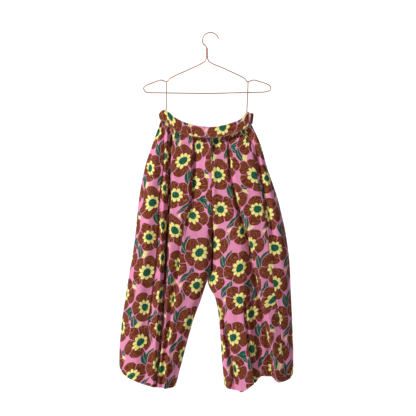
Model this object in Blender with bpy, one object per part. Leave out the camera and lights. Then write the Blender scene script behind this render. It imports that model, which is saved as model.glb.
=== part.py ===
"""Palazzo pants on a wire hanger.

Frame: origin inside the apex of the hanger's hook, +Z up, the pants' front
faces -Y. Lengths in the tables are millimetres; the mesh is in metres.
Left and right in the tables and functions are those of a viewer who faces
the front; left and right in the names of the pieces are the wearer's.
"""

import bpy
import numpy as np

MM = 0.001
SHARP_ANGLE = 1.05

# Sheet and seam sizes
CLOTH_WALL = 1.6
BAND_WALL = 3.0
BAND_PROUD = 0.7
BAND_TAPER = 0.12
SEAM_GAP = 0.3
WAIST_GAP = 0.7
CROTCH_Z = -682.0
CROTCH_SPREAD = 30.0
INNER_ROUND = 42.0
WAIST_FADE = 38.0
COLUMN_STEP = 9.0
BAND_STEPS_FRONT = 42
BAND_STEPS_BACK = 36
TIP_STEPS = 7
TIP_TURN = 26.0

# Hanger wire sizes
WIRE_RADIUS = 1.75
HOOK_RADIUS = 27.0
NECK_X = -12.2
NECK_TOP = -48.0
NECK_FOOT = -78.0
NECK_TURNS = 2.0
WIRE_BEVEL = 2
HOOK_START = 11.0
HOOK_STOP = 186.0
HOOK_STEPS = 20
STRAND_STEPS = 22

# Bends of the hanger's frame from the neck round by the left arm:
# x, height, reach of the bend
FRAME_BENDS = (
    (-14.1, -84.0, 4.0),
    (-18.0, -93.0, 4.0),
    (-30.0, -101.5, 6.0),
    (-71.0, -120.5, 12.0),
    (-123.0, -143.5, 8.0),
    (-136.5, -151.5, 3.0),
    (-141.0, -160.5, 3.0),
    (-151.0, -160.5, 3.0),
    (-157.0, -156.5, 4.0),
    (-167.0, -155.0, 5.0),
    (-186.0, -163.0, 7.0),
    (-213.0, -172.5, 8.0),
    (-223.0, -181.0, 6.0),
    (-217.0, -195.5, 7.0),
    (-200.0, -197.5, 6.0),
    (-11.0, -200.0, 30.0),
    (180.0, -195.5, 10.0),
    (198.0, -190.5, 7.0),
    (199.5, -177.0, 7.0),
    (188.0, -168.5, 7.0),
    (163.0, -161.0, 8.0),
    (145.0, -155.0, 5.0),
    (135.0, -156.5, 4.0),
    (129.0, -160.5, 3.0),
    (119.0, -160.5, 3.0),
    (114.5, -151.5, 3.0),
    (101.0, -143.5, 8.0),
    (49.0, -119.0, 12.0),
    (6.0, -101.5, 6.0),
    (-6.0, -94.0, 4.0),
    (-10.3, -84.0, 4.0),
)

# Hanging loops: name, x at the hanger's notch, x and height of the sewn end
LOOPS = (
    ("hanging_loop_right", -146.0, -146.0, -272.0),
    ("hanging_loop_left", 124.0, 119.5, -280.0),
)
NOTCH_Z = -160.5
TAPE_WIDTH = 4.2
TAPE_THICK = 1.0
BAR_PASS = -207.0
TAPE_CLEAR = 1.2
TAPE_HIDDEN = 20.0

# Rows of a leg, as shares of the way from the waist seam to the hem
LEG_ROWS = (0.0, 0.014, 0.032, 0.055, 0.085, 0.125, 0.17, 0.225, 0.29, 0.35, 0.404,
            0.46, 0.535, 0.578, 0.622, 0.665, 0.74, 0.81, 0.88, 0.945, 1.0)

# Body section: height, half depth front to back, rounding at the outer
# side, share of the half depth kept at the centre seam
SECTION = (
    (-285.0, 15.0, 24.0, 1.00),
    (-350.0, 25.0, 36.0, 1.00),
    (-440.0, 37.0, 52.0, 1.00),
    (-550.0, 44.0, 64.0, 0.94),
    (-610.0, 46.0, 66.0, 0.78),
    (-655.0, 47.0, 68.0, 0.42),
    (-682.0, 47.0, 68.0, 0.00),
    (-815.0, 48.0, 70.0, 0.00),
    (-950.0, 50.0, 70.0, 0.00),
    (-1080.0, 52.0, 72.0, 0.00),
    (-1190.0, 54.0, 72.0, 0.00),
)

# Waistband: x, height of its top edge, height of the waist seam
BAND = (
    (-167.0, -270.0, -288.0),
    (-161.0, -260.0, -288.0),
    (-152.0, -254.0, -291.0),
    (-137.0, -263.0, -303.0),
    (-117.0, -280.0, -325.0),
    (-81.0, -297.0, -338.0),
    (-37.0, -308.0, -346.0),
    (1.0, -311.0, -348.0),
    (39.0, -306.0, -345.0),
    (74.0, -296.0, -334.0),
    (99.0, -285.0, -325.0),
    (111.0, -271.0, -319.0),
    (121.0, -260.5, -312.0),
    (128.0, -265.0, -306.0),
    (134.0, -264.5, -302.0),
    (137.0, -269.0, -301.0),
)
LEFT_TIP = -166.0
RIGHT_TIP = 137.0
TIP_LEAN = 4.0
BAND_SEAM_LEFT = -148.0
BAND_SEAM_RIGHT = 124.0
BACK_SAG = 4.0

# Heights below the waist seam at which a leg's lines are given
LEVELS = (-370.0, -440.0, -550.0, -685.0, -785.0, -820.0, -885.0, -950.0, -1080.0, -1190.0)
# Heights at which the rise of a fold over the section is given
FOLD_LEVELS = (-370.0, -550.0, -815.0, -1000.0, -1190.0)

# Lines down the front of the left leg: name, x at the waist seam and at
# LEVELS, height of the hem, rise of the fold at FOLD_LEVELS
LEFT_LINES = (
    ("centre", 1, (1.5, 3, 5, 5.2, 2.5, -11.5, -33, -57, -92.5, -121.5), -1164,
     (0, 0, 0, 0, 0)),
    ("inner", -7, (-7, -6, -5, -8, -16, -25, -48, -70, -106, -132), -1168,
     (0, 0, 0, 0, 0)),
    ("recess", -25, (-27, -28, -28, -34, -44, -49.5, -72, -94, -126, -142), -1170,
     (-5, -7, -4, 0, -2)),
    ("tuck_in", -44, (-53, -57, -63, -81, -91, -96, -107, -118, -140, -152), -1170,
     (-9, -10, 4, 6, 2)),
    ("tuck_out", -52, (-61, -66, -74, -93, -104, -109, -120, -131, -149, -161), -1168,
     (4, 5, -8, -9, -3)),
    ("mid", -72, (-86, -98, -103, -117, -125, -128.5, -134.5, -141, -156, -167), -1167,
     (5, 6, 0, -3, -3)),
    ("hip_crest", -86, (-116, -122, -125, -133, -137, -139.5, -144, -149, -162, -172), -1167,
     (5, 6, 4, 1, 1)),
    ("side_seam", -95, (-130, -133, -135, -143, -147, -149.5, -153, -157, -169, -177), -1166,
     (-6, -17, -15, -9, -5)),
    ("hip_valley", -134, (-137, -139, -141, -149, -153, -155.5, -159, -163, -174, -181), -1166,
     (-14, -24, -22, -14, -8)),
    ("ridge", -144, (-146, -148, -154, -161, -165, -167.5, -172, -177, -184, -191), -1165,
     (1, 5, 6, 7, 6)),
    ("side_valley", -150, (-154, -157, -171, -176, -184, -188.5, -197, -205, -211, -215), -1158,
     (-10, -14, -12, -6, -4)),
    ("lobe", -156, (-172, -184, -199, -211, -225, -230.5, -238.5, -246, -247, -245), -1146,
     (2, 4, 6, 7, 5)),
    ("outer_tuck", -160, (-184, -203, -221, -241, -257, -262.5, -272, -281, -286, -281), -1127,
     (-3, -3, 0, 0, 0)),
    ("edge", -164, (-193, -216, -237, -251, -267, -273, -283, -293, -302, -301), -1099,
     (0, 0, 0, 0, 0)),
)

RIGHT_LINES = (
    ("centre", 1, (1.5, 3, 5, 7.8, 4.5, -9.5, 17.5, 28, 37.5, 47.5), -1162,
     (0, 0, 0, 0, 0)),
    ("inner", 9, (9, 10, 12, 14, 12, 0, 25.5, 36, 47, 58.5), -1171,
     (0, 0, 0, 0, 0)),
    ("front_valley", 20, (22, 23, 26, 29, 24, 20, 32.5, 45, 71, 88), -1177,
     (-4, -5, -4, -13, -22)),
    ("front_crest", 34, (37, 40, 46, 61, 56, 50.5, 55, 60, 84, 102), -1181,
     (-5, -4, 2, 6, 9)),
    ("recess_crest", 47, (50, 51, 63, 91, 102, 104, 107, 110, 131, 148), -1154,
     (-6, -3, 4, 8, 10)),
    ("recess", 55, (58, 59, 76, 114, 129, 134.5, 142.5, 150, 167, 173), -1132,
     (-8, -5, -3, -15, -22)),
    ("long_valley", 62, (65, 67, 88, 127, 147, 154, 166.5, 179, 200, 203), -1133,
     (-9, -12, -16, -22, -24)),
    ("long_crest", 70, (74, 77, 98, 138, 158, 165, 177.5, 190, 211, 216), -1146,
     (4, 6, 8, 9, 8)),
    ("mid", 84, (97, 110, 130, 161, 177, 183, 195, 207, 224, 230), -1150,
     (5, 6, 5, 4, 4)),
    ("side_seam", 98, (131, 147, 168, 190, 202, 206, 216, 226, 238, 243), -1147,
     (2, 0, 1, 2, 2)),
    ("hip_valley", 112, (144, 158, 178, 205, 216, 220, 230, 240, 250, 253), -1144,
     (-6, -10, -1, 0, 0)),
    ("lobe", 124, (159, 173, 203, 231, 241, 244.5, 250.5, 257, 263, 262), -1139,
     (1, 3, 2, 2, 2)),
    ("edge", 135, (166, 185.5, 222.5, 252, 263, 264, 267, 270, 274, 270), -1121,
     (0, 0, 0, 0, 0)),
)

# Lines down the back of a leg, from its outer side to its inner one: name,
# share of the width at waist, hip and hem, lift of the hem over the front
# one, rise of the fold at FOLD_LEVELS
BACK_LINES = (
    ("back_edge", 0.08, 0.07, 0.07, 4, (0, 0, 0, 0, 0)),
    ("back_lobe", 0.20, 0.18, 0.19, 2, (3, 6, 6, 6, 6)),
    ("back_side_valley", 0.28, 0.29, 0.31, 9, (-7, -12, -10, -12, -12)),
    ("back_ridge", 0.38, 0.41, 0.43, 1, (3, 5, 6, 8, 8)),
    ("back_mid_valley", 0.52, 0.56, 0.57, 10, (-5, -8, -14, -16, -16)),
    ("back_crest", 0.62, 0.67, 0.68, 2, (3, 4, 7, 9, 9)),
    ("back_inner_valley", 0.78, 0.80, 0.81, 8, (-4, -6, -8, -8, -8)),
    ("back_inner", 0.94, 0.94, 0.93, 2, (0, 0, 0, 0, 0)),
)

# Depth below the waist seam over which the gathers start, keep their height
# and die out
GATHER_START = 6.0
GATHER_HOLD = 40.0
GATHER_FADE = 60.0

# Gathers under the waist seam: x at the seam, sideways run to the foot,
# width, height, length
FRONT_GATHERS = (
    (-118, -6, 12, 3.2, 70),
    (-103, -12, 11, 3.4, 62),
    (-88, -16, 12, 3.6, 88),
    (-74, -8, 11, 3.0, 58),
    (-59, -5, 12, 3.4, 76),
    (-40, -4, 10, 2.2, 44),
    (-22, -1, 10, 1.8, 34),
    (16, 1, 10, 1.8, 38),
    (34, 3, 11, 2.4, 52),
    (50, 6, 11, 3.2, 78),
    (66, 8, 11, 3.0, 60),
    (82, 12, 12, 3.4, 82),
    (96, 16, 11, 2.4, 54),
)
BACK_GATHERS = (
    (-150, -10, 12, 3.0, 60),
    (-128, -12, 13, 3.4, 84),
    (-106, -10, 12, 3.0, 66),
    (-84, -8, 13, 3.6, 92),
    (-60, -5, 12, 3.0, 64),
    (-38, -3, 12, 2.8, 78),
    (-16, -1, 11, 2.2, 50),
    (14, 1, 11, 2.4, 56),
    (36, 4, 12, 3.0, 80),
    (58, 6, 12, 3.2, 66),
    (80, 9, 13, 3.4, 88),
    (102, 12, 12, 3.0, 62),
    (120, 10, 12, 2.6, 54),
)

# Pocket mouth along the upper side seam: heights of its ends, length over
# which it opens, rise of the front edge, sink of the cloth behind it
MOUTH_TOP = -334.0
MOUTH_FOOT = -380.0
MOUTH_EASE = 8.0
MOUTH_RISE = 2.0
MOUTH_SINK = 1.3

COLOURS = {
    "cloth": (0.83, 0.30, 0.52, 1.0),
    "band": (0.24, 0.052, 0.032, 1.0),
    "tape": (0.55, 0.42, 0.38, 1.0),
    "wire": (0.78, 0.42, 0.32, 1.0),
}


def pchip(knots, values, at):
    """Monotone cubic through the knots; values may carry trailing axes."""
    knots = np.asarray(knots, float)
    values = np.asarray(values, float)
    at = np.clip(np.asarray(at, float), knots[0], knots[-1])
    gaps = np.diff(knots)
    shape = (-1,) + (1,) * (values.ndim - 1)
    slopes = np.diff(values, axis=0) / gaps.reshape(shape)
    before, after = slopes[:-1], slopes[1:]
    same = before * after > 0
    safe = np.where(same, before + after, 1.0)
    middle = np.where(same, 2.0 * before * after / safe, 0.0)
    ends = np.concatenate([slopes[:1], middle, slopes[-1:]], axis=0)
    cell = np.clip(np.searchsorted(knots, at, side="right") - 1, 0, len(gaps) - 1)
    share = (at - knots[cell]) / gaps[cell]
    if values.ndim > 1:
        share = share.reshape(share.shape + (1,) * (values.ndim - 1))
        width = gaps[cell].reshape(share.shape)
    else:
        width = gaps[cell]
    low, high = values[cell], values[cell + 1]
    start, stop = ends[cell] * width, ends[cell + 1] * width
    square, cube = share ** 2, share ** 3
    return (
        (2 * cube - 3 * square + 1) * low
        + (cube - 2 * square + share) * start
        + (3 * square - 2 * cube) * high
        + (cube - square) * stop
    )


def column(table, number):
    """One named column of a table whose first column is a height or an x."""
    return [row[number] for row in table]


def falling(heights, values, at):
    """Monotone cubic over heights that are listed from the top down."""
    return pchip([-h for h in heights], values, -np.asarray(at, float))


def smooth(share):
    """Soft step from 0 to 1."""
    share = np.clip(share, 0.0, 1.0)
    return share * share * (3.0 - 2.0 * share)


def band_top(x):
    return pchip(column(BAND, 0), column(BAND, 1), x)


def band_foot(x):
    return pchip(column(BAND, 0), column(BAND, 2), x)


def back_sag(x, on_back):
    """How much lower the band sits at the back, none at its side tips."""
    from_tip = np.where(np.asarray(x) < 0, x - LEFT_TIP, RIGHT_TIP - x)
    return BACK_SAG * smooth(from_tip / 16.0) * on_back


def waist_seam(x, on_back):
    """Height of a leg's top edge under the band."""
    return band_foot(x) - WAIST_GAP - back_sag(x, on_back)


def half_depth(z):
    return falling(column(SECTION, 0), column(SECTION, 1), z)


def outer_round(z):
    return falling(column(SECTION, 0), column(SECTION, 2), z)


def centre_share(z):
    return falling(column(SECTION, 0), column(SECTION, 3), z)


def section_depth(x, z, inner_x, outer_x):
    """Half depth of a leg's slab section with rounded sides."""
    from_outer = np.clip(np.abs(outer_x - x) / outer_round(z), 0.0, 1.0)
    from_inner = np.clip(np.abs(x - inner_x) / INNER_ROUND, 0.0, 1.0)
    outer = np.sqrt(1.0 - (1.0 - from_outer) ** 2)
    kept = centre_share(z)
    inner = kept + (1.0 - kept) * np.sqrt(1.0 - (1.0 - from_inner) ** 2)
    return half_depth(z) * outer * inner


def gathers(table, x, below):
    """Sum of the small ridges that run down from the waist seam."""
    total = np.zeros_like(x)
    for place, drift, width, height, length in table:
        run = np.clip(below / length, 0.0, 1.0)
        across = (x - place - drift * run) / width
        rise = smooth(run * 5.0) * (1.0 - run) ** 1.3
        total = total + height * rise * (np.exp(-4.0 * across ** 2) - 0.35)
    fade = 1.0 - smooth((below - GATHER_HOLD) / GATHER_FADE)
    return total * smooth(below / GATHER_START) * fade


def leg_lines(side):
    """Every line round one leg, front then back, on the rows of the leg."""
    front = LEFT_LINES if side == "left" else RIGHT_LINES
    rows = np.asarray(LEG_ROWS)
    lines = []
    for name, top_x, xs, hem, rise in front:
        top = float(waist_seam(top_x, 0.0))
        z = top + (hem - top) * rows
        x = falling((top,) + LEVELS, (top_x,) + xs, z)
        height = falling(FOLD_LEVELS, rise, z)
        lines.append((name, x, z, height * smooth((top - z) / WAIST_FADE)))
    edge, centre = lines[-1], lines[0]
    hem_x = [line[1][-1] for line in lines]
    hem_z = [line[2][-1] for line in lines]
    turn = -1.0 if side == "left" else 1.0
    for name, waist, hip, foot, lift, rise in BACK_LINES:
        share = pchip((0.0, 0.3, 1.0), (waist, hip, foot), rows)
        x = edge[1] + share * (centre[1] - edge[1])
        top_x = front[-1][1] + waist * (front[0][1] - front[-1][1])
        top = float(waist_seam(top_x, 1.0))
        hem = float(np.interp(turn * x[-1], turn * np.asarray(hem_x), hem_z)) + lift
        z = top + (hem - top) * rows
        height = falling(FOLD_LEVELS, rise, z)
        lines.append((name, x, z, height * smooth((top - z) / WAIST_FADE)))
    drop = BACK_SAG * (1.0 - smooth(rows / 0.3))
    z = centre[2] - drop
    x = edge_x(side, 0, z)
    lines.append(("back_centre", x, z, np.zeros_like(z)))
    return lines


def edge_x(side, line, z):
    """x of the leg's inner or outer outline at a height."""
    table = LEFT_LINES if side == "left" else RIGHT_LINES
    row = table[line]
    top = float(waist_seam(row[1], 0.0))
    return falling((top,) + LEVELS, (row[1],) + row[2], z)


def column_places(lines, step):
    """Line numbers, with shares, of the columns round one leg."""
    names = [line[0] for line in lines]
    edge, last = names.index("edge"), len(lines) - 1
    places = [0.0]
    for number in range(last):
        gap = np.mean(np.abs(lines[number + 1][1][4:12] - lines[number][1][4:12]))
        top_gap = abs(lines[number + 1][1][0] - lines[number][1][0])
        count = max(2, int(round(gap / step)), int(round(top_gap / (0.8 * step))))
        if edge in (number, number + 1):
            count = 4
        shares = np.arange(1, count + 1) / count
        if number in (0, edge):
            shares = 1.0 - np.cos(shares * np.pi / 2)
        elif number + 1 in (edge, last):
            shares = np.sin(shares * np.pi / 2)
        places.extend(number + float(share) for share in shares)
    return np.asarray(places)


def leg_surface(side, step):
    """Outer points round one leg, rows by columns by xyz, in millimetres."""
    lines = leg_lines(side)
    names = [line[0] for line in lines]
    places = column_places(lines, step)
    count = np.arange(len(lines))
    x = pchip(count, np.stack([line[1] for line in lines]), places).T
    z = pchip(count, np.stack([line[2] for line in lines]), places).T
    rise = pchip(count, np.stack([line[3] for line in lines]), places).T
    edge = names.index("edge")
    on_back = places > edge
    true_top = waist_seam(x[0], on_back * 1.0)
    share = np.asarray(LEG_ROWS)[:, None]
    z = z + (true_top - z[0])[None, :] * (1.0 - smooth(share / 0.25))
    inner_x = edge_x(side, 0, z)
    outer_x = edge_x(side, edge, z)
    base = section_depth(x, z, inner_x, outer_x)
    ruffle = np.where(
        on_back[None, :],
        gathers(BACK_GATHERS, x, z[:1] - z),
        gathers(FRONT_GATHERS, x, z[:1] - z),
    )
    near_edge = np.clip(np.abs(places - edge) / 2.0, 0.0, 1.0)
    near_centre = np.clip(np.minimum(places, len(lines) - 1 - places), 0.0, 1.0)
    depth = base + rise + ruffle * (near_edge * near_centre)[None, :]
    depth = np.where(np.abs(places - edge)[None, :] < 1e-6, 0.0, depth)
    sign = np.where(on_back, 1.0, -1.0)[None, :]
    points = np.stack([x, sign * depth, z], axis=2)
    for number in (0, -1):
        settle_centre(points[:, number])
    seam = int(np.argmin(np.abs(places - names.index("side_seam"))))
    return points, on_back, seam


def settle_centre(edge):
    """Bring a centre column to the centre seam over the crotch."""
    seam = 0.5 * (edge_x("left", 0, edge[:, 2]) + edge_x("right", 0, edge[:, 2]))
    free = smooth((CROTCH_Z - edge[:, 2]) / CROTCH_SPREAD)
    edge[:, 0] = seam + (edge[:, 0] - seam) * free
    edge[:, 1] = np.where(edge[:, 2] <= CROTCH_Z + 2.0, 0.0, edge[:, 1])


def ring_normals(points, closed_rows, flat_rows):
    """Outward unit normals of a grid whose columns run round the body."""
    before = np.concatenate([points[:, -2:-1], points[:, :-1]], axis=1)
    after = np.concatenate([points[:, 1:], points[:, 1:2]], axis=1)
    before[~closed_rows, 0] = points[~closed_rows, 0]
    after[~closed_rows, -1] = points[~closed_rows, -1]
    down = np.gradient(points, axis=0)
    out = np.cross(after - before, down)
    probe = points.shape[1] // 4
    if out[0, probe, 1] * points[0, probe, 1] < 0:
        out = -out
    out[flat_rows, :, 2] = 0.0
    return out / np.linalg.norm(out, axis=2, keepdims=True)


def trim_sides(points, amount):
    """Draw the first and last columns in by half a seam gap."""
    for number, inward in ((0, 1), (-1, -2)):
        run = points[:, inward] - points[:, number]
        run = run / np.linalg.norm(run, axis=1, keepdims=True)
        points[:, number] += amount * run


def wall_mesh(name, outer, inner, material):
    """Closed wall between two grids of the same shape."""
    rows, columns = outer.shape[:2]
    points = np.concatenate([outer.reshape(-1, 3), inner.reshape(-1, 3)]) * MM
    index = np.arange(rows * columns).reshape(rows, columns)
    under = index + rows * columns
    quads = []
    for i in range(rows - 1):
        for j in range(columns - 1):
            a, b = index[i, j], index[i, j + 1]
            c, d = index[i + 1, j + 1], index[i + 1, j]
            quads.append((a, b, c, d))
            e, f = under[i, j], under[i, j + 1]
            g, h = under[i + 1, j + 1], under[i + 1, j]
            quads.append((e, h, g, f))
    for j in range(columns - 1):
        quads.append((index[0, j + 1], index[0, j], under[0, j], under[0, j + 1]))
        quads.append((index[-1, j], index[-1, j + 1], under[-1, j + 1], under[-1, j]))
    for i in range(rows - 1):
        quads.append((index[i, 0], index[i + 1, 0], under[i + 1, 0], under[i, 0]))
        quads.append((index[i + 1, -1], index[i, -1], under[i, -1], under[i + 1, -1]))
    return add_mesh(name, points, quads, material)


def signed_volume(points, faces):
    """Six times the volume inside the faces, positive when they face out."""
    total = 0.0
    for face in faces:
        for k in range(1, len(face) - 1):
            a, b, c = points[face[0]], points[face[k]], points[face[k + 1]]
            total += float(np.dot(a, np.cross(b, c)))
    return total


def add_mesh(name, points, faces, material):
    """One named object with its own material, faces turned outward."""
    if signed_volume(points, faces) < 0:
        faces = [tuple(reversed(face)) for face in faces]
    mesh = bpy.data.meshes.new(name)
    clean = [tuple(int(v) for v in face) for face in faces]
    mesh.from_pydata([tuple(map(float, p)) for p in points], [], clean)
    mesh.update()
    mesh.shade_smooth()
    mesh.set_sharp_from_angle(angle=SHARP_ANGLE)
    thing = bpy.data.objects.new(name, mesh)
    bpy.context.scene.collection.objects.link(thing)
    mesh.materials.append(make_material(name, material))
    return thing


def make_material(name, kind):
    """Plain material in the part's main colour."""
    material = bpy.data.materials.new(name + "_material")
    material.use_nodes = True
    shader = material.node_tree.nodes["Principled BSDF"]
    shader.inputs["Base Color"].default_value = COLOURS[kind]
    shader.inputs["Roughness"].default_value = 0.32 if kind == "wire" else 0.85
    shader.inputs["Metallic"].default_value = 1.0 if kind == "wire" else 0.0
    return material


def leg_panels(side, front_name, back_name):
    """Front and back panel of one leg as closed walls."""
    points, on_back, seam = leg_surface(side, COLUMN_STEP)
    closed = points[:, 0, 2] < CROTCH_Z
    out = ring_normals(points, closed, [0, -1])
    mouth = smooth((MOUTH_TOP - points[:, seam, 2]) / MOUTH_EASE)
    mouth = mouth * smooth((points[:, seam, 2] - MOUTH_FOOT) / MOUTH_EASE)
    keep = np.minimum if side == "left" else np.maximum
    for name, part, centre in (
        (front_name, slice(0, seam + 1), 0),
        (back_name, slice(seam, None), -1),
    ):
        outer, normal, back = points[:, part].copy(), out[:, part], on_back[part]
        outer[:, centre, 1] = np.where(closed, 0.0, outer[:, centre, 1])
        if centre == 0:
            outer[:, -1, 1] -= MOUTH_RISE * mouth
        else:
            outer[:, 0, 1] += MOUTH_SINK * mouth
        trim_sides(outer, SEAM_GAP / 2)
        inner = outer - CLOTH_WALL * normal
        inner[:, centre, 0] = np.where(
            closed, inner[:, centre, 0], keep(inner[:, centre, 0], outer[:, centre, 0])
        )
        if centre == 0:
            inner[:, 0, 1] = np.minimum(inner[:, 0, 1], -SEAM_GAP / 2)
        else:
            inner[:, -1, 1] = np.maximum(inner[:, -1, 1], SEAM_GAP / 2)
        outer[0, :, 2] = waist_seam(outer[0, :, 0], back * 1.0)
        inner[0, :, 2] = waist_seam(inner[0, :, 0], back * 1.0)
        wall_mesh(name, outer, inner, "cloth")


def band_ring():
    """Stations round the waistband: x, and whether it is on the back."""
    front = np.linspace(BAND_SEAM_LEFT, BAND_SEAM_RIGHT, BAND_STEPS_FRONT)
    turn = np.sin(np.linspace(0.0, 1.0, TIP_STEPS) * np.pi / 2)
    left_in_x, right_in_x = LEFT_TIP + TIP_TURN, RIGHT_TIP - TIP_TURN
    left_out = BAND_SEAM_LEFT + (LEFT_TIP - BAND_SEAM_LEFT) * turn[1:]
    left_in = LEFT_TIP + TIP_TURN * (1.0 - turn[::-1][1:])
    back = np.linspace(left_in_x, right_in_x, BAND_STEPS_BACK)[1:]
    right_in = RIGHT_TIP - TIP_TURN * (1.0 - turn[1:])
    right_out = RIGHT_TIP + (BAND_SEAM_RIGHT - RIGHT_TIP) * (1.0 - turn[::-1][1:])
    x = np.concatenate([front[::-1], left_out, left_in, back, right_in, right_out])
    flag = np.ones(len(x))
    flag[:len(front) + len(left_out)] = 0.0
    flag[len(x) - len(right_out):] = 0.0
    return x, flag, len(front)


def build_band():
    """Front band between the side seams, back band round the rest."""
    x, flag, front_count = band_ring()
    rows = []
    for share in (0.0, 0.5, 1.0):
        low = band_foot(x) - back_sag(x, flag)
        high = band_top(x) - back_sag(x, flag)
        tip = np.where(x < 0, LEFT_TIP, RIGHT_TIP)
        depth = section_depth(x, band_foot(x), 0.0, tip) * (1.0 - BAND_TAPER * share)
        y = np.where(flag > 0, depth, -depth)
        near_tip = smooth(1.0 - np.abs(x - tip) / TIP_TURN)
        lean = np.sign(x) * TIP_LEAN * share * near_tip
        rows.append(np.stack([x + lean, y, low + (high - low) * share], axis=1))
    points = np.asarray(rows)
    out = ring_normals(points, np.ones(3, bool), [0, 1, 2])
    for name, part in (
        ("waistband_front", slice(0, front_count)),
        ("waistband_back", slice(front_count - 1, None)),
    ):
        middle, normal, back = points[:, part].copy(), out[:, part], flag[part]
        trim_sides(middle, SEAM_GAP / 2)
        outer = middle + BAND_PROUD * normal
        inner = middle - (BAND_WALL - BAND_PROUD) * normal
        for face in (outer, inner):
            face[0, :, 2] = band_foot(face[0, :, 0]) - back_sag(face[0, :, 0], back)
        wall_mesh(name, outer, inner, "band")


def wire_curve(name, path, radius, material):
    """Round bar along a polyline, with filled ends."""
    curve = bpy.data.curves.new(name, "CURVE")
    curve.dimensions = "3D"
    spline = curve.splines.new("POLY")
    spline.points.add(len(path) - 1)
    for point, place in zip(spline.points, path):
        point.co = (place[0] * MM, place[1] * MM, place[2] * MM, 1.0)
    curve.bevel_depth = radius * MM
    curve.bevel_resolution = WIRE_BEVEL
    curve.use_fill_caps = True
    thing = bpy.data.objects.new(name, curve)
    bpy.context.scene.collection.objects.link(thing)
    curve.materials.append(make_material(name, material))
    return thing


def rounded(corners, reaches):
    """Polyline with each inner corner replaced by an arc-like blend."""
    corners = np.asarray(corners, float)
    path = [corners[0]]
    for i in range(1, len(corners) - 1):
        before = corners[i - 1] - corners[i]
        after = corners[i + 1] - corners[i]
        reach = min(reaches[i - 1], 0.48 * np.linalg.norm(before),
                    0.48 * np.linalg.norm(after))
        start = corners[i] + before / np.linalg.norm(before) * reach
        stop = corners[i] + after / np.linalg.norm(after) * reach
        steps = 4 if 6.0 <= reaches[i - 1] <= 7.0 else 2
        for k in range(steps + 1):
            t = k / steps
            path.append((1 - t) ** 2 * start + 2 * t * (1 - t) * corners[i]
                        + t * t * stop)
    path.append(corners[-1])
    return np.asarray(path)


def neck_strand(phase, downward):
    """One of the two wires that twist round each other in the neck."""
    share = np.linspace(0.0, 1.0, STRAND_STEPS)
    z = NECK_TOP + (NECK_FOOT - NECK_TOP) * share
    angle = phase + 2 * np.pi * NECK_TURNS * share
    radius = WIRE_RADIUS + SEAM_GAP / 2
    path = np.stack([NECK_X + radius * np.cos(angle), radius * np.sin(angle), z], 1)
    return path if downward else path[::-1]


def build_hanger():
    """One bent wire: hook, neck, left arm, bar, right arm, neck again."""
    centre_z = WIRE_RADIUS - HOOK_RADIUS
    angle = np.radians(np.linspace(HOOK_START, HOOK_STOP, HOOK_STEPS))
    hook = np.stack([HOOK_RADIUS * np.cos(angle), 0 * angle,
                     centre_z + HOOK_RADIUS * np.sin(angle)], 1)
    first = neck_strand(np.pi, True)
    bend = [hook[-1], (-24.5, 0.0, -37.0), (-14.4, 0.0, -43.0), first[0]]
    bend = rounded(bend, (7.0, 5.0))[1:-1]
    second = neck_strand(0.0, False)
    bends = [(x, 0.0, z) for x, z, reach in FRAME_BENDS]
    corners = [first[-1]] + bends + [second[0]]
    body = rounded(corners, column(FRAME_BENDS, 2))
    path = np.concatenate([hook, bend, first, body[1:-1], second])
    wire_curve("hanger_wire", path, WIRE_RADIUS, "wire")


def band_inside(x):
    """y of the waistband's inner face at its top edge on the front."""
    tip = LEFT_TIP if x < 0 else RIGHT_TIP
    depth = float(section_depth(x, band_foot(x), 0.0, tip)) * (1.0 - BAND_TAPER)
    room = BAND_WALL - BAND_PROUD + SEAM_GAP + TAPE_THICK / 2 + TAPE_CLEAR
    return room - depth


def build_loop(name, notch_x, foot_x, foot_z):
    """Tape over the hanger's notch, both ends sewn inside the waistband."""
    notch_z, band_y = NOTCH_Z, band_inside(foot_x)
    over = WIRE_RADIUS + 1.5 * SEAM_GAP + TAPE_THICK / 2
    arch = np.radians(np.linspace(0.0, 180.0, 9))
    top = [(notch_x, -over * np.cos(a), notch_z + over * np.sin(a)) for a in arch]
    front_end = (foot_x, band_y, foot_z)
    back_end = (foot_x, band_y + TAPE_THICK + SEAM_GAP, foot_z)
    share = (notch_z - BAR_PASS) / (notch_z - foot_z)
    pass_x = notch_x + share * (foot_x - notch_x)
    sewn_top = foot_z + TAPE_HIDDEN
    front = [(foot_x, band_y, sewn_top), (pass_x, -over, BAR_PASS)]
    back = [(pass_x, over, BAR_PASS), (foot_x, back_end[1], sewn_top)]
    path = np.asarray([front_end] + front + top + back + [back_end])
    run = np.gradient(path, axis=0)
    run[:, 0] = 0.0
    run = run / np.linalg.norm(run, axis=1, keepdims=True)
    out = np.stack([0 * run[:, 0], -run[:, 2], run[:, 1]], 1)
    half = np.array([TAPE_WIDTH / 2, 0.0, 0.0])
    rings = []
    for p, n in zip(path, out):
        low, high = p - n * TAPE_THICK / 2, p + n * TAPE_THICK / 2
        rings.append((low - half, low + half, high + half, high - half))
    points = np.asarray(rings).reshape(-1, 3) * MM
    faces = []
    for i in range(len(path) - 1):
        for j in range(4):
            k = (j + 1) % 4
            faces.append((4 * i + j, 4 * i + k, 4 * i + 4 + k, 4 * i + 4 + j))
    last = 4 * (len(path) - 1)
    faces.append((3, 2, 1, 0))
    faces.append((last, last + 1, last + 2, last + 3))
    return add_mesh(name, points, faces, "tape")


def main():
    for thing in list(bpy.data.objects):
        bpy.data.objects.remove(thing, do_unlink=True)
    leg_panels("left", "right_leg_front", "right_leg_back")
    leg_panels("right", "left_leg_front", "left_leg_back")
    build_band()
    build_hanger()
    for name, notch_x, foot_x, foot_z in LOOPS:
        build_loop(name, notch_x, foot_x, foot_z)


main()
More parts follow.
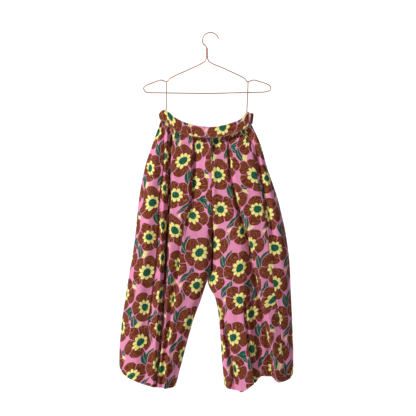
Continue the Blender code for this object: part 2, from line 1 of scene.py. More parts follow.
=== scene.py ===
"""Palazzo pants on a wire hanger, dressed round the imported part.

Frame: metres, origin inside the apex of the hanger's hook, +Z up, the front of
the garment faces -Y. Tables are in millimetres. Left and right in tables and
functions are those of a viewer who faces the front; in the names of pieces
they are the wearer's.
"""

import bpy
import numpy as np
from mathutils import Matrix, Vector


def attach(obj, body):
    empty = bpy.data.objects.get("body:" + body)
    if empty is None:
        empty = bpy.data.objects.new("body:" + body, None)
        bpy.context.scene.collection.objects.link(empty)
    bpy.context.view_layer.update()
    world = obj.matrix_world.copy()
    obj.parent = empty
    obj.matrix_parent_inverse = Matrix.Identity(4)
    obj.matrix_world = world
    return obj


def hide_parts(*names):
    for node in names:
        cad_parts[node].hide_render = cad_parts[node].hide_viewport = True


bl_info = {
    "name": "Palazzo Pants",
    "version": (1, 0, 0),
    "blender": (4, 5, 0),
    "location": "View3D > Sidebar > Palazzo Pants",
    "description": "Printed wide trousers hanging from a bent wire hanger",
    "category": "Add Mesh",
}

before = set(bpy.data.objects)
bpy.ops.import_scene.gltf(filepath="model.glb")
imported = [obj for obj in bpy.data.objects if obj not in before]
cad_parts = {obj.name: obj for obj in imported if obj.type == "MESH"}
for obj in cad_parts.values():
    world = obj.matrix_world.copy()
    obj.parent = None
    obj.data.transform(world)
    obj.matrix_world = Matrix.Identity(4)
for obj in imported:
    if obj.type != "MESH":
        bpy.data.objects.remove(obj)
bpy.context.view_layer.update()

MM = 0.001

# Leg panels: height of the crotch, height below which the two inseams hang
# apart and the length over which they part, rounding of the section at the
# inseam, length over which the folds begin below the waist seam
CROTCH_Z = -682.0
MEET_Z = -802.0
CROTCH_SPREAD = 30.0
INNER_ROUND = 42.0
WAIST_FADE = 38.0
# Shares of a leg's length: down to the hip, and over which the tops of its
# columns are eased on to the waist seam
HIP_SHARE = 0.3
TOP_EASE = 0.25
# Seams: depth of the groove and its reach; cloth that runs up behind the
# waistband and how far inward; sink of the legs below the waist seam, its reach
SEAM_GROOVE = 1.3
SEAM_REACH = 2.2
WAIST_TUCK = 3.0
TUCK_IN = 1.0
WAIST_SINK = 2.8
WAIST_SINK_REACH = 7.5
# Grid of a leg: length over which rows are counted, step of its rows and
# columns, step next to a fold edge, least columns between two lines and at a
# side, first row that counts for the gap between two lines, lines over which
# relief comes in at the outer edge, rows over which the grain is evened out
LEG_LENGTH = 830.0
ROW_STEP = 4.6
COLUMN_STEP = 3.2
FOLD_STEP = 1.3
LEAST_COLUMNS = 4
SIDE_COLUMNS = 10
GAP_FROM_ROW = 60
EDGE_QUIET = 2.0
GRAIN_EASE = 6

# Waistband: thickness, how far it stands proud of the legs, how much flatter
# it is at its top, crown of its outer face, rounding of its foot
BAND_WALL = 3.6
BAND_PROUD = 1.6
BAND_TAPER = 0.12
BAND_PILLOW = 0.5
BAND_FOOT_ROUND = 0.8
# Length of the turn at a side tip; places round the band: on the front, in
# half a turn, on the back
TIP_TURN = 26.0
FRONT_STATIONS = 130
TURN_STATIONS = 13
BACK_STATIONS = 120
# Places on the band's outline: share of its height and count on the outer
# face, on the inner face and in each half round
OUTER_FACE = (0.06, 0.94, 9)
INNER_FACE = (0.9, 0.1, 5)
ROUND_PLACES = 7
# Waves that the gathers press into the band: length, phase, share; height
BAND_WAVES = ((5.3, 0.7, 1.0), (8.1, 2.0, 0.7))
BAND_WAVE_HEIGHT = 0.22
# Cloth of the band: height of a face, where the inner face begins (outwards
# from the legs), its offset, whole way round, cloth turned in at a side seam
FACE_HEIGHT = 38.0
INNER_FROM = -1.0
INNER_OFFSET = 60.0
WAY_ROUND = 96.0
SIDE_TURN_IN = 3.0

# Mesh of the hanger wire: sides, step along it, passes that ease its line,
# places on the hook or a strand and in a bend, share of a stretch that a bend
# may take, least size at its ends, distance under which two places are one
WIRE_SIDES = 16
WIRE_STEP = 1.2
WIRE_EASE = 3
CURVE_STEPS = 60
BEND_STEPS = 9
BEND_LIMIT = 0.48
END_LEAST = 0.05
SAME_PLACE = 1e-6
# Hanger wire: hook from one angle to another, twisted neck, then its bends as
# x, z and how far from the corner the wire begins to bend
WIRE_RADIUS = 1.75
STRAND_GAP = 0.15
HOOK_RADIUS = 27.0
HOOK_START = 11.0
HOOK_STOP = 186.0
NECK_X = -12.2
NECK_TOP = -48.0
NECK_FOOT = -78.0
NECK_TURNS = 2.0
HOOK_BENDS = ((-24.5, -37.0, 7.0), (-14.4, -43.0, 5.0))
FRAME_BENDS = (
    (-14.1, -84.0, 4.0),
    (-18.0, -93.0, 4.0),
    (-30.0, -101.5, 6.0),
    (-71.0, -120.5, 12.0),
    (-123.0, -143.5, 8.0),
    (-136.5, -151.5, 3.0),
    (-141.0, -160.5, 3.0),
    (-151.0, -160.5, 3.0),
    (-157.0, -156.5, 4.0),
    (-167.0, -155.0, 5.0),
    (-186.0, -163.0, 7.0),
    (-213.0, -172.5, 8.0),
    (-223.0, -181.0, 6.0),
    (-217.0, -195.5, 7.0),
    (-200.0, -197.5, 6.0),
    (-11.0, -200.0, 30.0),
    (180.0, -195.5, 10.0),
    (198.0, -190.5, 7.0),
    (199.5, -177.0, 7.0),
    (188.0, -168.5, 7.0),
    (163.0, -161.0, 8.0),
    (145.0, -155.0, 5.0),
    (135.0, -156.5, 4.0),
    (129.0, -160.5, 3.0),
    (119.0, -160.5, 3.0),
    (114.5, -151.5, 3.0),
    (101.0, -143.5, 8.0),
    (49.0, -119.0, 12.0),
    (6.0, -101.5, 6.0),
    (-6.0, -94.0, 4.0),
    (-10.3, -84.0, 4.0),
)
# Hanging loops: name, x at the hanger's notch, x and height at the foot; then
# the tape, its way past the notch and the bar, and its mesh
LOOPS = (
    ("hanging_loop_right", -146.0, -146.0, -272.0),
    ("hanging_loop_left", 124.0, 119.5, -280.0),
)
NOTCH_Z = -160.5
TAPE_WIDTH = 4.2
TAPE_THICK = 1.0
TAPE_CLEAR = 1.2
TAPE_HIDDEN = 20.0
BAR_PASS = -207.0
SEAM_GAP = 0.3
LOOP_GAP = 0.45
TAPE_SIDES = 16
TAPE_SQUARE = 0.45
TAPE_STEP = 1.0
TAPE_EASE = 6
ARCH_STEPS = 17
# Ribs of the tape in radians to a metre
RIBS = 7000.0

# Stitches: radius of the thread at the band and pockets and at the hem, share
# of the pitch that shows, how far a row stands on the band and on a leg, rows
# as shares of the band's height
THREAD_RADIUS = 0.28
HEM_THREAD_RADIUS = 0.26
STITCH_SHARE = 0.75
BAND_STITCH_RISE = 0.25
LEG_STITCH_RISE = 0.1
BAND_STITCH_ROWS = (0.07, 0.94)
# Pocket mouth's row: distance from the edge, pitch and stitch as shares of
# the common pitch, how far it stays from the mouth's ends
MOUTH_ROW = 4.0
MOUTH_PITCH = 0.85
MOUTH_STITCH = 0.62
MOUTH_END = 1.0
# A stitch is a spindle: where its belly ends and how deep its tips sink, as
# shares of its length and radius; how far ahead its direction is read
STITCH_BELLY = 0.3
STITCH_SINK = 0.4
LOOK_AHEAD = 0.5

# Body section: height, half depth front to back, rounding at the outer
# side, share of the half depth kept at the centre seam
SECTION = (
    (-285.0, 15.0, 24.0, 1.00),
    (-350.0, 25.0, 36.0, 1.00),
    (-440.0, 37.0, 52.0, 1.00),
    (-550.0, 44.0, 64.0, 0.94),
    (-610.0, 46.0, 66.0, 0.78),
    (-655.0, 47.0, 68.0, 0.42),
    (-682.0, 47.0, 68.0, 0.00),
    (-815.0, 48.0, 70.0, 0.00),
    (-950.0, 50.0, 70.0, 0.00),
    (-1080.0, 52.0, 72.0, 0.00),
    (-1190.0, 54.0, 72.0, 0.00),
)

# Waistband: x, height of its top edge, height of the waist seam
BAND = (
    (-167.0, -270.0, -288.0),
    (-161.0, -260.0, -288.0),
    (-152.0, -254.0, -291.0),
    (-137.0, -263.0, -303.0),
    (-117.0, -280.0, -325.0),
    (-81.0, -297.0, -338.0),
    (-37.0, -308.0, -346.0),
    (1.0, -311.0, -348.0),
    (39.0, -306.0, -345.0),
    (74.0, -296.0, -334.0),
    (99.0, -285.0, -325.0),
    (111.0, -271.0, -319.0),
    (121.0, -260.5, -312.0),
    (128.0, -265.0, -306.0),
    (134.0, -264.5, -302.0),
    (137.0, -269.0, -301.0),
)
LEFT_TIP = -166.0
RIGHT_TIP = 137.0
TIP_LEAN = 4.0
SAG_EASE = 16.0
BAND_SEAM_LEFT = -148.0
BAND_SEAM_RIGHT = 124.0
BACK_SAG = 4.0

# Heights below the waist seam at which a leg's lines are given
LEVELS = (-370.0, -440.0, -550.0, -685.0, -785.0, -820.0, -885.0, -950.0, -1080.0, -1190.0)
# Heights at which the rise of a fold over the section is given
FOLD_LEVELS = (-370.0, -550.0, -815.0, -1000.0, -1190.0)

# Lines down the front of a leg: name, x at the waist seam and at LEVELS,
# height of the hem, rise of the fold at FOLD_LEVELS
LEFT_LINES = (
    ("centre", 1, (1.5, 3, 5, 5.2, 2.5, -11.5, -33, -57, -92.5, -121.5), -1164,
     (0, 0, 0, 0, 0)),
    ("inner", -7, (-7, -6, -5, -8, -16, -25, -48, -70, -106, -132), -1168,
     (0, 0, 0, 0, 0)),
    ("recess", -25, (-27, -28, -28, -34, -44, -49.5, -72, -94, -126, -142), -1170,
     (-5, -7, -4, 0, -2)),
    ("tuck_in", -44, (-53, -57, -63, -81, -91, -96, -107, -118, -140, -152), -1170,
     (-9, -10, 4, 8, 5)),
    ("tuck_out", -52, (-61, -66, -74, -93, -104, -109, -120, -131, -149, -161), -1168,
     (4, 5, -8, -12, -9)),
    ("mid", -72, (-86, -98, -103, -117, -125, -128.5, -134.5, -141, -156, -167), -1167,
     (5, 6, 0, -6, -7)),
    ("hip_crest", -86, (-116, -122, -125, -133, -137, -139.5, -144, -149, -162, -172), -1167,
     (5, 6, 4, 1, 1)),
    ("side_seam", -95, (-130, -133, -135, -143, -147, -149.5, -153, -157, -169, -177), -1166,
     (-6, -17, -15, -9, -5)),
    ("hip_valley", -134, (-137, -139, -141, -149, -153, -155.5, -159, -163, -174, -181), -1166,
     (-14, -24, -22, -14, -8)),
    ("ridge", -144, (-146, -148, -154, -161, -165, -167.5, -172, -177, -184, -191), -1165,
     (1, 5, 6, 7, 6)),
    ("side_valley", -150, (-154, -157, -171, -176, -184, -188.5, -197, -205, -211, -215), -1158,
     (-10, -14, -12, -6, -4)),
    ("lobe", -156, (-172, -184, -199, -211, -225, -230.5, -238.5, -246, -247, -245), -1146,
     (2, 4, 6, 7, 5)),
    ("outer_tuck", -160, (-184, -203, -221, -241, -257, -262.5, -272, -281, -286, -281), -1127,
     (-3, -3, 0, 0, 0)),
    ("edge", -164, (-193, -216, -237, -251, -267, -273, -283, -293, -302, -301), -1099,
     (0, 0, 0, 0, 0)),
)
RIGHT_LINES = (
    ("centre", 1, (1.5, 3, 5, 7.8, 4.5, -9.5, 17.5, 28, 37.5, 47.5), -1162,
     (0, 0, 0, 0, 0)),
    ("inner", 9, (9, 10, 12, 14, 12, 0, 25.5, 36, 47, 58.5), -1171,
     (0, 0, 0, 0, 0)),
    ("front_valley", 20, (22, 23, 26, 29, 24, 20, 32.5, 45, 71, 88), -1177,
     (-4, -5, -4, -13, -22)),
    ("front_crest", 34, (37, 40, 46, 61, 56, 50.5, 55, 60, 84, 102), -1181,
     (-5, -4, 2, 6, 9)),
    ("recess_crest", 47, (50, 51, 63, 91, 102, 104, 107, 110, 131, 148), -1154,
     (-6, -3, 6, 11, 13)),
    ("recess", 55, (58, 59, 76, 114, 129, 134.5, 142.5, 150, 167, 173), -1132,
     (-8, -5, -12, -24, -30)),
    ("long_valley", 62, (65, 67, 88, 127, 147, 154, 166.5, 179, 200, 203), -1133,
     (-9, -12, -16, -22, -24)),
    ("long_crest", 70, (74, 77, 98, 138, 158, 165, 177.5, 190, 211, 216), -1146,
     (4, 6, 8, 9, 8)),
    ("mid", 84, (97, 110, 130, 161, 177, 183, 195, 207, 224, 230), -1150,
     (5, 6, 5, 4, 4)),
    ("side_seam", 98, (131, 147, 168, 190, 202, 206, 216, 226, 238, 243), -1147,
     (2, 0, 1, 2, 2)),
    ("hip_valley", 112, (144, 158, 178, 205, 216, 220, 230, 240, 250, 253), -1144,
     (-6, -10, -1, 0, 0)),
    ("lobe", 124, (159, 173, 203, 231, 241, 244.5, 250.5, 257, 263, 262), -1139,
     (1, 3, 2, 2, 2)),
    ("edge", 135, (166, 185.5, 222.5, 252, 263, 264, 267, 270, 274, 270), -1121,
     (0, 0, 0, 0, 0)),
)

# Lines down the back of a leg, from its outer side to its inner one: name,
# share of the width at waist, hip and hem, lift of the hem over the front
# one, rise of the fold at FOLD_LEVELS
BACK_LINES = (
    ("back_edge", 0.08, 0.07, 0.07, 4, (0, 0, 0, 0, 0)),
    ("back_lobe", 0.20, 0.18, 0.19, 2, (3, 6, 6, 6, 6)),
    ("back_side_valley", 0.28, 0.29, 0.31, 9, (-7, -12, -10, -12, -12)),
    ("back_ridge", 0.38, 0.41, 0.43, 1, (3, 5, 6, 8, 8)),
    ("back_mid_valley", 0.52, 0.56, 0.57, 10, (-5, -8, -14, -16, -16)),
    ("back_crest", 0.62, 0.67, 0.68, 2, (3, 4, 7, 9, 9)),
    ("back_inner_valley", 0.78, 0.80, 0.81, 8, (-4, -6, -8, -8, -8)),
    ("back_inner", 0.94, 0.94, 0.93, 2, (0, 0, 0, 0, 0)),
)

# Gathers under the waist seam: x at the seam, sideways run to the foot,
# width, height, length. They start within GATHER_START, hold and then fade.
GATHER_START = 6.0
GATHER_HOLD = 40.0
GATHER_FADE = 60.0
# Ridges: starts over which one grows, power by which it runs out, sharpness
# across, sink between two
RIDGE_GROWTH = 2.5
RIDGE_FALL = 1.3
RIDGE_SHARPNESS = 4.0
RIDGE_SINK = 0.35
# Cloth taken up at the waist seam beyond its own width, on the front and on
# the back panels, and how far down that reaches
FRONT_TAKE = (0.45, 170.0)
BACK_TAKE = (0.9, 150.0)
FRONT_GATHERS = (
    (-155, -16, 6, 3.4, 96),
    (-145, -7, 6, 3.4, 120),
    (-127, -8, 9, 3.8, 104),
    (-114, -8, 9, 3.4, 70),
    (-102, -14, 9, 3.6, 62),
    (-88, -16, 12, 3.6, 88),
    (-74, -8, 11, 3.0, 58),
    (-59, -5, 12, 3.4, 76),
    (-40, -4, 10, 2.2, 44),
    (-22, -1, 10, 1.8, 34),
    (16, 1, 10, 1.8, 38),
    (34, 3, 11, 2.4, 52),
    (50, 6, 11, 3.2, 78),
    (66, 8, 11, 3.0, 60),
    (82, 12, 12, 3.4, 82),
    (96, 16, 11, 2.4, 54),
)
BACK_GATHERS = (
    (-150, -10, 12, 3.0, 60),
    (-128, -12, 13, 3.4, 84),
    (-106, -10, 12, 3.0, 66),
    (-84, -8, 13, 3.6, 92),
    (-60, -5, 12, 3.0, 64),
    (-38, -3, 12, 2.8, 78),
    (-16, -1, 11, 2.2, 50),
    (14, 1, 11, 2.4, 56),
    (36, 4, 12, 3.0, 80),
    (58, 6, 12, 3.2, 66),
    (80, 9, 13, 3.4, 88),
    (102, 12, 12, 3.0, 62),
    (120, 10, 12, 2.6, 54),
)

# Fine pleats between the gathers, in the same columns
PLEAT_START = 1.6
PLEAT_FALL = 0.8
PLEAT_GAIN = 1.5
PLEAT_LAP = 1.1
PLEAT_TAKE = 2.6
FRONT_PLEATS = (
    (-150, -12, 4.5, 2.4, 110),
    (-140, -8, 4.5, 2.7, 120),
    (-132, -10, 4.5, 2.5, 100),
    (-121, -10, 5, 2.3, 76),
    (-108, -12, 5, 2.5, 84),
    (-96, -18, 5, 2.2, 66),
    (-81, -12, 5, 1.6, 70),
    (-66, -6, 5, 1.3, 42),
    (-50, -6, 5, 1.6, 92),
    (-33, -2, 5, 1.1, 30),
    (-12, 0, 4, 0.8, 22),
    (7, 0, 4, 0.8, 24),
    (25, 2, 5, 1.1, 34),
    (42, 5, 5, 1.4, 60),
    (58, 8, 5, 1.5, 84),
    (74, 12, 5, 1.4, 48),
    (89, 16, 5, 1.9, 78),
    (103, 18, 5, 1.9, 62),
    (112, 16, 5, 2.0, 84),
)
BACK_PLEATS = (
    (-158, -10, 5, 1.2, 56),
    (-139, -12, 5, 1.5, 84),
    (-117, -10, 5, 1.4, 60),
    (-95, -8, 5, 1.6, 92),
    (-72, -6, 5, 1.3, 48),
    (-49, -4, 5, 1.5, 78),
    (-27, -2, 5, 1.2, 40),
    (-5, 0, 4, 1.0, 30),
    (25, 2, 5, 1.3, 52),
    (47, 5, 5, 1.5, 88),
    (69, 8, 5, 1.3, 46),
    (91, 12, 5, 1.5, 76),
    (111, 14, 5, 1.4, 62),
    (129, 12, 5, 1.2, 50),
)

# Fold edges where one layer laps over the next: leg, line it follows, the
# side that stands in front (-1 left, 1 right), height where it starts and
# ends, lap at both, step between the layers, depth of the dip beside it,
# width of cloth hidden in the fold
FOLD_EDGES = (
    ("left", "hip_valley", -1, -296, -1172, 5.0, 3.6, 7.0, 9.0, 26.0),
    ("left", "side_valley", -1, -330, -1060, 4.4, 3.0, 5.5, 5.0, 17.0),
    ("left", "outer_tuck", 1, -352, -680, 3.2, 3.0, 4.0, 3.0, 10.0),
    ("left", "tuck_in", -1, -356, -610, 4.8, 3.0, 5.5, 4.0, 20.0),
    ("left", "tuck_out", 1, -590, -1060, 3.4, 4.2, 5.5, 5.0, 15.0),
    ("right", "long_valley", 1, -340, -1168, 4.2, 5.6, 8.0, 10.0, 24.0),
    ("right", "hip_valley", -1, -370, -690, 3.8, 3.0, 5.0, 4.0, 13.0),
    ("right", "front_valley", 1, -890, -1200, 3.2, 4.8, 7.0, 10.0, 12.0),
    ("right", "recess_crest", -1, -860, -1180, 3.0, 5.6, 9.0, 11.0, 14.0),
    ("left", "back_side_valley", 1, -420, -1150, 3.4, 4.2, 5.0, 4.0, 16.0),
    ("left", "back_mid_valley", -1, -640, -1160, 3.2, 4.6, 5.5, 5.0, 18.0),
    ("right", "back_side_valley", -1, -460, -1150, 3.4, 4.2, 5.0, 4.0, 16.0),
    ("right", "back_mid_valley", 1, -600, -1160, 3.2, 4.8, 5.5, 5.0, 18.0),
)
FOLD_WIDTH = 6.5
FOLD_FRONT_REACH = 24.0
FOLD_BACK_REACH = 13.0
FOLD_EASE = 60.0
FOLD_STEP_HALF = 0.6
FOLD_TAKE_HALF = 0.4
DIP_PLACE = 0.75
DIP_WIDTH = 0.7
DIP_SPREAD = 0.9
DIP_FADE = 0.5

# Soft creases: start x and z, end x and z, sideways bow, half width, depth;
# how quickly one rises at its start and falls at its end
CREASE_RISE = 3.0
CREASE_FALL = 2.2
FRONT_CREASES = (
    (-8, -640, -46, -560, 6, 7, -1.6),
    (12, -650, 52, -575, -6, 7, -1.7),
    (-6, -600, -30, -520, 4, 6, 1.1),
    (10, -612, 34, -530, -4, 6, 1.2),
    (-20, -705, -66, -640, 6, 8, -1.5),
    (24, -700, 74, -648, -5, 8, -1.6),
    (-40, -735, -84, -700, 4, 8, 1.2),
    (34, -742, 92, -712, -4, 8, 1.3),
    (-36, -372, -31, -520, 3, 7, 1.3),
    (-100, -420, -106, -610, -3, 9, -1.5),
    (-92, -470, -98, -720, 4, 8, 1.4),
    (-114, -560, -120, -820, -4, 8, -1.5),
    (-180, -470, -205, -640, 5, 10, -1.8),
    (-206, -560, -226, -780, -5, 9, 1.6),
    (-190, -720, -216, -960, 6, 10, -1.8),
    (-236, -800, -262, -1010, -6, 10, 1.5),
    (-226, -960, -236, -1120, 5, 9, -1.6),
    (-262, -980, -270, -1100, -3, 8, 1.4),
    (-84, -860, -118, -1040, 4, 8, -1.5),
    (-66, -880, -102, -1100, -3, 6, 1.2),
    (-120, -1010, -142, -1150, 3, 6, 1.2),
    (106, -420, 122, -600, 4, 9, 1.5),
    (118, -470, 142, -660, -4, 8, -1.6),
    (146, -640, 170, -830, 4, 9, -1.7),
    (168, -600, 196, -800, -4, 9, 1.5),
    (190, -520, 214, -690, 4, 9, -1.6),
    (208, -840, 236, -1040, 5, 9, -1.8),
    (226, -820, 252, -1000, -5, 8, 1.5),
    (196, -900, 222, -1100, -4, 7, 1.4),
    (84, -800, 96, -1010, 5, 9, -1.5),
    (60, -780, 74, -960, -4, 7, 1.3),
    (126, -880, 140, -1060, 3, 7, 1.2),
    (240, -1010, 254, -1120, 3, 8, -1.4),
)
BACK_CREASES = (
    (-6, -640, -60, -560, 6, 8, -1.7),
    (10, -640, 62, -556, -6, 8, -1.7),
    (-12, -690, -74, -640, 5, 8, 1.3),
    (16, -694, 80, -650, -5, 8, 1.3),
    (-40, -420, -46, -600, 4, 9, 1.4),
    (-84, -450, -98, -660, -5, 10, -1.8),
    (-130, -440, -152, -620, 5, 10, 1.6),
    (-176, -480, -206, -700, -5, 10, -1.8),
    (-120, -700, -140, -900, 6, 9, 1.4),
    (-180, -780, -204, -1000, -5, 10, -1.7),
    (-236, -820, -256, -1040, 5, 10, 1.5),
    (-150, -960, -166, -1120, -4, 8, -1.5),
    (36, -420, 44, -590, -4, 9, 1.4),
    (78, -440, 98, -640, 5, 10, -1.7),
    (122, -470, 148, -640, -5, 10, 1.5),
    (160, -520, 190, -720, 5, 10, -1.7),
    (100, -740, 122, -930, -5, 9, 1.4),
    (170, -800, 196, -1010, 5, 10, -1.6),
    (222, -860, 240, -1060, -5, 9, 1.4),
    (120, -980, 140, -1130, 4, 8, -1.5),
)

FRONT_RELIEF = (FRONT_GATHERS, FRONT_PLEATS, FRONT_CREASES)
BACK_RELIEF = (BACK_GATHERS, BACK_PLEATS, BACK_CREASES)

# Slanted pocket mouth along the upper side seam: heights of its ends, ease at
# them, how far its front edge stands out and the cloth behind it sinks, reach
MOUTH_TOP = -334.0
MOUTH_FOOT = -380.0
MOUTH_EASE = 8.0
MOUTH_RISE = 1.8
MOUTH_SINK = 1.6
MOUTH_REACH = 7.0

# Share of the inseam's and the side seam's lean that the grain stays out of
FRONT_LEAN = 0.5
BACK_LEAN = 1.0

# Ripples along the stitched hem: wave length, height, phase
HEM_RIPPLES = ((31.0, 0.55, 0.4), (18.0, 0.4, 2.1), (47.0, 0.7, 4.0))
HEM_REACH = 26.0
HEM_ROLL = 1.1
HEM_ROWS = 5

# Sides as a viewer and as the wearer names them; the way x runs outwards; the
# lines of the leg on each side
SIDES = (("left", "right"), ("right", "left"))
TURN = {"left": -1.0, "right": 1.0}
LINES = {"left": LEFT_LINES, "right": RIGHT_LINES}
BANDS = ("waistband_front", "waistband_back")

# Print: size of the repeat; blossoms with their place in it, turn in degrees
# and radius; leaves with place, turn, half length, half width and colour
TILE = (184.0, 228.0)
BLOSSOMS = (
    (44.0, 46.0, 10.0, 54.0),
    (140.0, 92.0, 40.0, 50.0),
    (50.0, 160.0, 75.0, 49.0),
    (140.0, 198.0, 20.0, 54.0),
)
LEAVES = (
    (97.0, 121.0, 40.0, 32.0, 10.5, "leaf"),
    (110.0, 132.0, 82.0, 26.0, 9.5, "leaf"),
    (18.0, 104.0, 104.0, 34.0, 11.0, "leaf"),
    (34.0, 102.0, 52.0, 22.0, 6.5, "bud"),
    (182.0, 146.0, 20.0, 34.0, 11.0, "leaf"),
    (176.0, 133.0, -38.0, 26.0, 9.5, "leaf"),
    (84.0, 214.0, 112.0, 32.0, 11.0, "leaf"),
    (98.0, 2.0, 66.0, 28.0, 9.5, "leaf"),
    (2.0, 8.0, 44.0, 28.0, 10.0, "leaf"),
    (94.0, 62.0, 100.0, 22.0, 8.5, "leaf"),
    (4.0, 196.0, 88.0, 24.0, 7.5, "petal"),
    (92.0, 92.0, 18.0, 14.0, 5.0, "bud"),
    (4.0, 222.0, -30.0, 15.0, 5.0, "bud"),
)
# Petals: number, where the rim stands at a notch and between, roundness of
# the lobes, half width of the gap between two, where it widens and how fast
PETALS = 5
RIM_SHARE = 0.82
RIM_REACH = 0.18
RIM_ROUND = 0.75
GAP_HALF = 0.3
GAP_FROM = 0.45
GAP_WIDEN = 0.05
# Inner petals: the same, with a softness of their gap's edge; eye; pale line
# round a flower; half width of a leaf's rib and softness of its edge
CUPS = 9
CUP_SHARE = 0.33
CUP_REACH = 0.17
CUP_ROUND = 0.7
CUP_GAP_HALF = 0.45
CUP_GAP_SOFT = 0.6
EYE_SHARE = 0.25
HALO = 1.6
RIB_HALF = 0.45
RIB_SOFT = 0.5
PRINT_SOFT = 0.7
# Unevenness of the drawn line; wavy lines in a fill: number, half width and
# softness
STRAY = 15.0
WAVES = 15.0
WAVE_HALF = 0.10
WAVE_SOFT = 0.12
# Tone that the wrong side of the cloth is washed out to, and how far
WASHED = (0.80, 0.62, 0.68)
WRONG_SIDE_WASH = 0.5
THREAD_COLOUR = (0.62, 0.30, 0.36)
PAPER_COLOUR = (0.9, 0.9, 0.9)
# Offset of the cloth of each panel in the print's repeat, so that the print
# breaks at the seams
PRINT_SHIFT = {
    "right_leg_front": (20.0, 12.0),
    "right_leg_back": (71.0, 150.0),
    "left_leg_front": (20.0, 60.0),
    "left_leg_back": (118.0, 187.0),
    "waistband": (100.0, 62.0),
}

# Stage: a floor that curves up into a wall; a camera square to the front that
# sees the photograph's width; lights as place, aim, size and power
FLOOR_Z = -2400.0
WALL_Y = 7600.0
WALL_TOP = 6000.0
COVE_RADIUS = 1500.0
COVE_STEPS = 25
STAGE_HALF = 9000.0
CAMERA_PLACE = (-0.0086, -6.0, -0.5787)
FRAME_WIDTH = 1.3757
SENSOR = 36.0
LIGHTS = (
    ("key_light", (-2.8, -2.9, 1.6), (0.0, 0.0, -0.62), 0.9, 185.0),
    ("fill_light", (3.0, -3.4, -0.2), (0.0, 0.0, -0.7), 2.4, 8.0),
    ("wall_light_left", (-4.0, 3.4, 2.0), (1.2, 7.6, -0.8), 2.4, 245.0),
    ("wall_light_right", (4.0, 3.4, 2.0), (-1.2, 7.6, -0.8), 2.4, 245.0),
)
SKY_TONE = (1.0, 0.99, 0.98, 1.0)
SKY_STRENGTH = 0.13


def pchip(knots, values, at):
    """Monotone cubic through the knots; values may carry trailing axes."""
    knots = np.asarray(knots, float)
    values = np.asarray(values, float)
    at = np.clip(np.asarray(at, float), knots[0], knots[-1])
    gaps = np.diff(knots)
    shape = (-1,) + (1,) * (values.ndim - 1)
    slopes = np.diff(values, axis=0) / gaps.reshape(shape)
    before, after = slopes[:-1], slopes[1:]
    same = before * after > 0
    safe = np.where(same, before + after, 1.0)
    middle = np.where(same, 2.0 * before * after / safe, 0.0)
    ends = np.concatenate([slopes[:1], middle, slopes[-1:]], axis=0)
    cell = np.clip(np.searchsorted(knots, at, side="right") - 1, 0, len(gaps) - 1)
    share = (at - knots[cell]) / gaps[cell]
    width = gaps[cell]
    if values.ndim > 1:
        share = share.reshape(share.shape + (1,) * (values.ndim - 1))
        width = width.reshape(share.shape)
    low, high = values[cell], values[cell + 1]
    start, stop = ends[cell] * width, ends[cell + 1] * width
    square, cube = share ** 2, share ** 3
    return (
        (2 * cube - 3 * square + 1) * low
        + (cube - 2 * square + share) * start
        + (3 * square - 2 * cube) * high
        + (cube - square) * stop
    )


def column(table, number):
    """One column of a table."""
    return [row[number] for row in table]


def falling(heights, values, at):
    """Monotone cubic over heights that are listed from the top down."""
    return pchip([-h for h in heights], values, -np.asarray(at, float))


def smooth(share):
    """Soft step from 0 to 1: 3 s squared less 2 s cubed."""
    share = np.clip(share, 0.0, 1.0)
    return share * share * (3.0 - 2.0 * share)


def soft_step(value, half):
    """Soft step from 0 to 1 while the value goes from -half to half."""
    return smooth((value + half) / (2.0 * half))


def unit(vectors):
    """Vectors scaled to length 1 along the last axis."""
    size = np.linalg.norm(vectors, axis=-1, keepdims=True)
    return vectors / np.maximum(size, 1e-9)


def run_length(path):
    """Distance along a path at each of its points."""
    sizes = np.linalg.norm(np.diff(path, axis=0), axis=1)
    return np.concatenate([[0.0], np.cumsum(sizes)])


def band_top(x):
    """Height of the waistband's top edge."""
    return pchip(column(BAND, 0), column(BAND, 1), x)


def band_foot(x):
    """Height of the waist seam."""
    return pchip(column(BAND, 0), column(BAND, 2), x)


def back_sag(x, on_back):
    """How much lower the band sits at the back, none at its side tips."""
    from_tip = np.where(np.asarray(x) < 0, x - LEFT_TIP, RIGHT_TIP - x)
    return BACK_SAG * smooth(from_tip / SAG_EASE) * on_back


def section_depth(x, z, inner_x, outer_x):
    """Half depth of the slab section: quarter ellipses round both sides."""
    depth, rounding, kept = (
        falling(column(SECTION, 0), column(SECTION, k), z) for k in (1, 2, 3))
    from_outer = np.clip(np.abs(outer_x - x) / rounding, 0.0, 1.0)
    from_inner = np.clip(np.abs(x - inner_x) / INNER_ROUND, 0.0, 1.0)
    outer = np.sqrt(1.0 - (1.0 - from_outer) ** 2)
    inner = kept + (1.0 - kept) * np.sqrt(1.0 - (1.0 - from_inner) ** 2)
    return depth * outer * inner


def along_ridge(row, x, below, start):
    """Place across a gather or pleat over its width, growth and way left.

    It grows over RIDGE_GROWTH starts, in millimetres below the waist seam, and
    has run out at its own length.
    """
    place, drift, width, _, length = row
    run = np.clip(below / length, 0.0, 1.0)
    return (x - place - drift * run) / width, smooth(below / (RIDGE_GROWTH * start)), 1.0 - run


def gathers(table, x, below, start):
    """Sum of bell-shaped ridges that run down from the waist seam and fade.

    Across a ridge, with t the distance over its width, its height goes with
    exp(-sharpness t squared) less a sink.
    """
    total = np.zeros_like(x)
    for row in table:
        across, growth, left = along_ridge(row, x, below, start)
        rise = growth * left ** RIDGE_FALL
        total = total + row[3] * rise * (np.exp(-RIDGE_SHARPNESS * across ** 2) - RIDGE_SINK)
    fade = 1.0 - smooth((below - GATHER_HOLD) / GATHER_FADE)
    return total * smooth(below / start) * fade


def lap_turn(across):
    """Sideways turn of a lap: sin(pi t)(1 - t squared) for t from -1 to 1."""
    inside = np.clip(across, -1.0, 1.0)
    return np.sin(np.pi * inside) * (1.0 - inside ** 2)


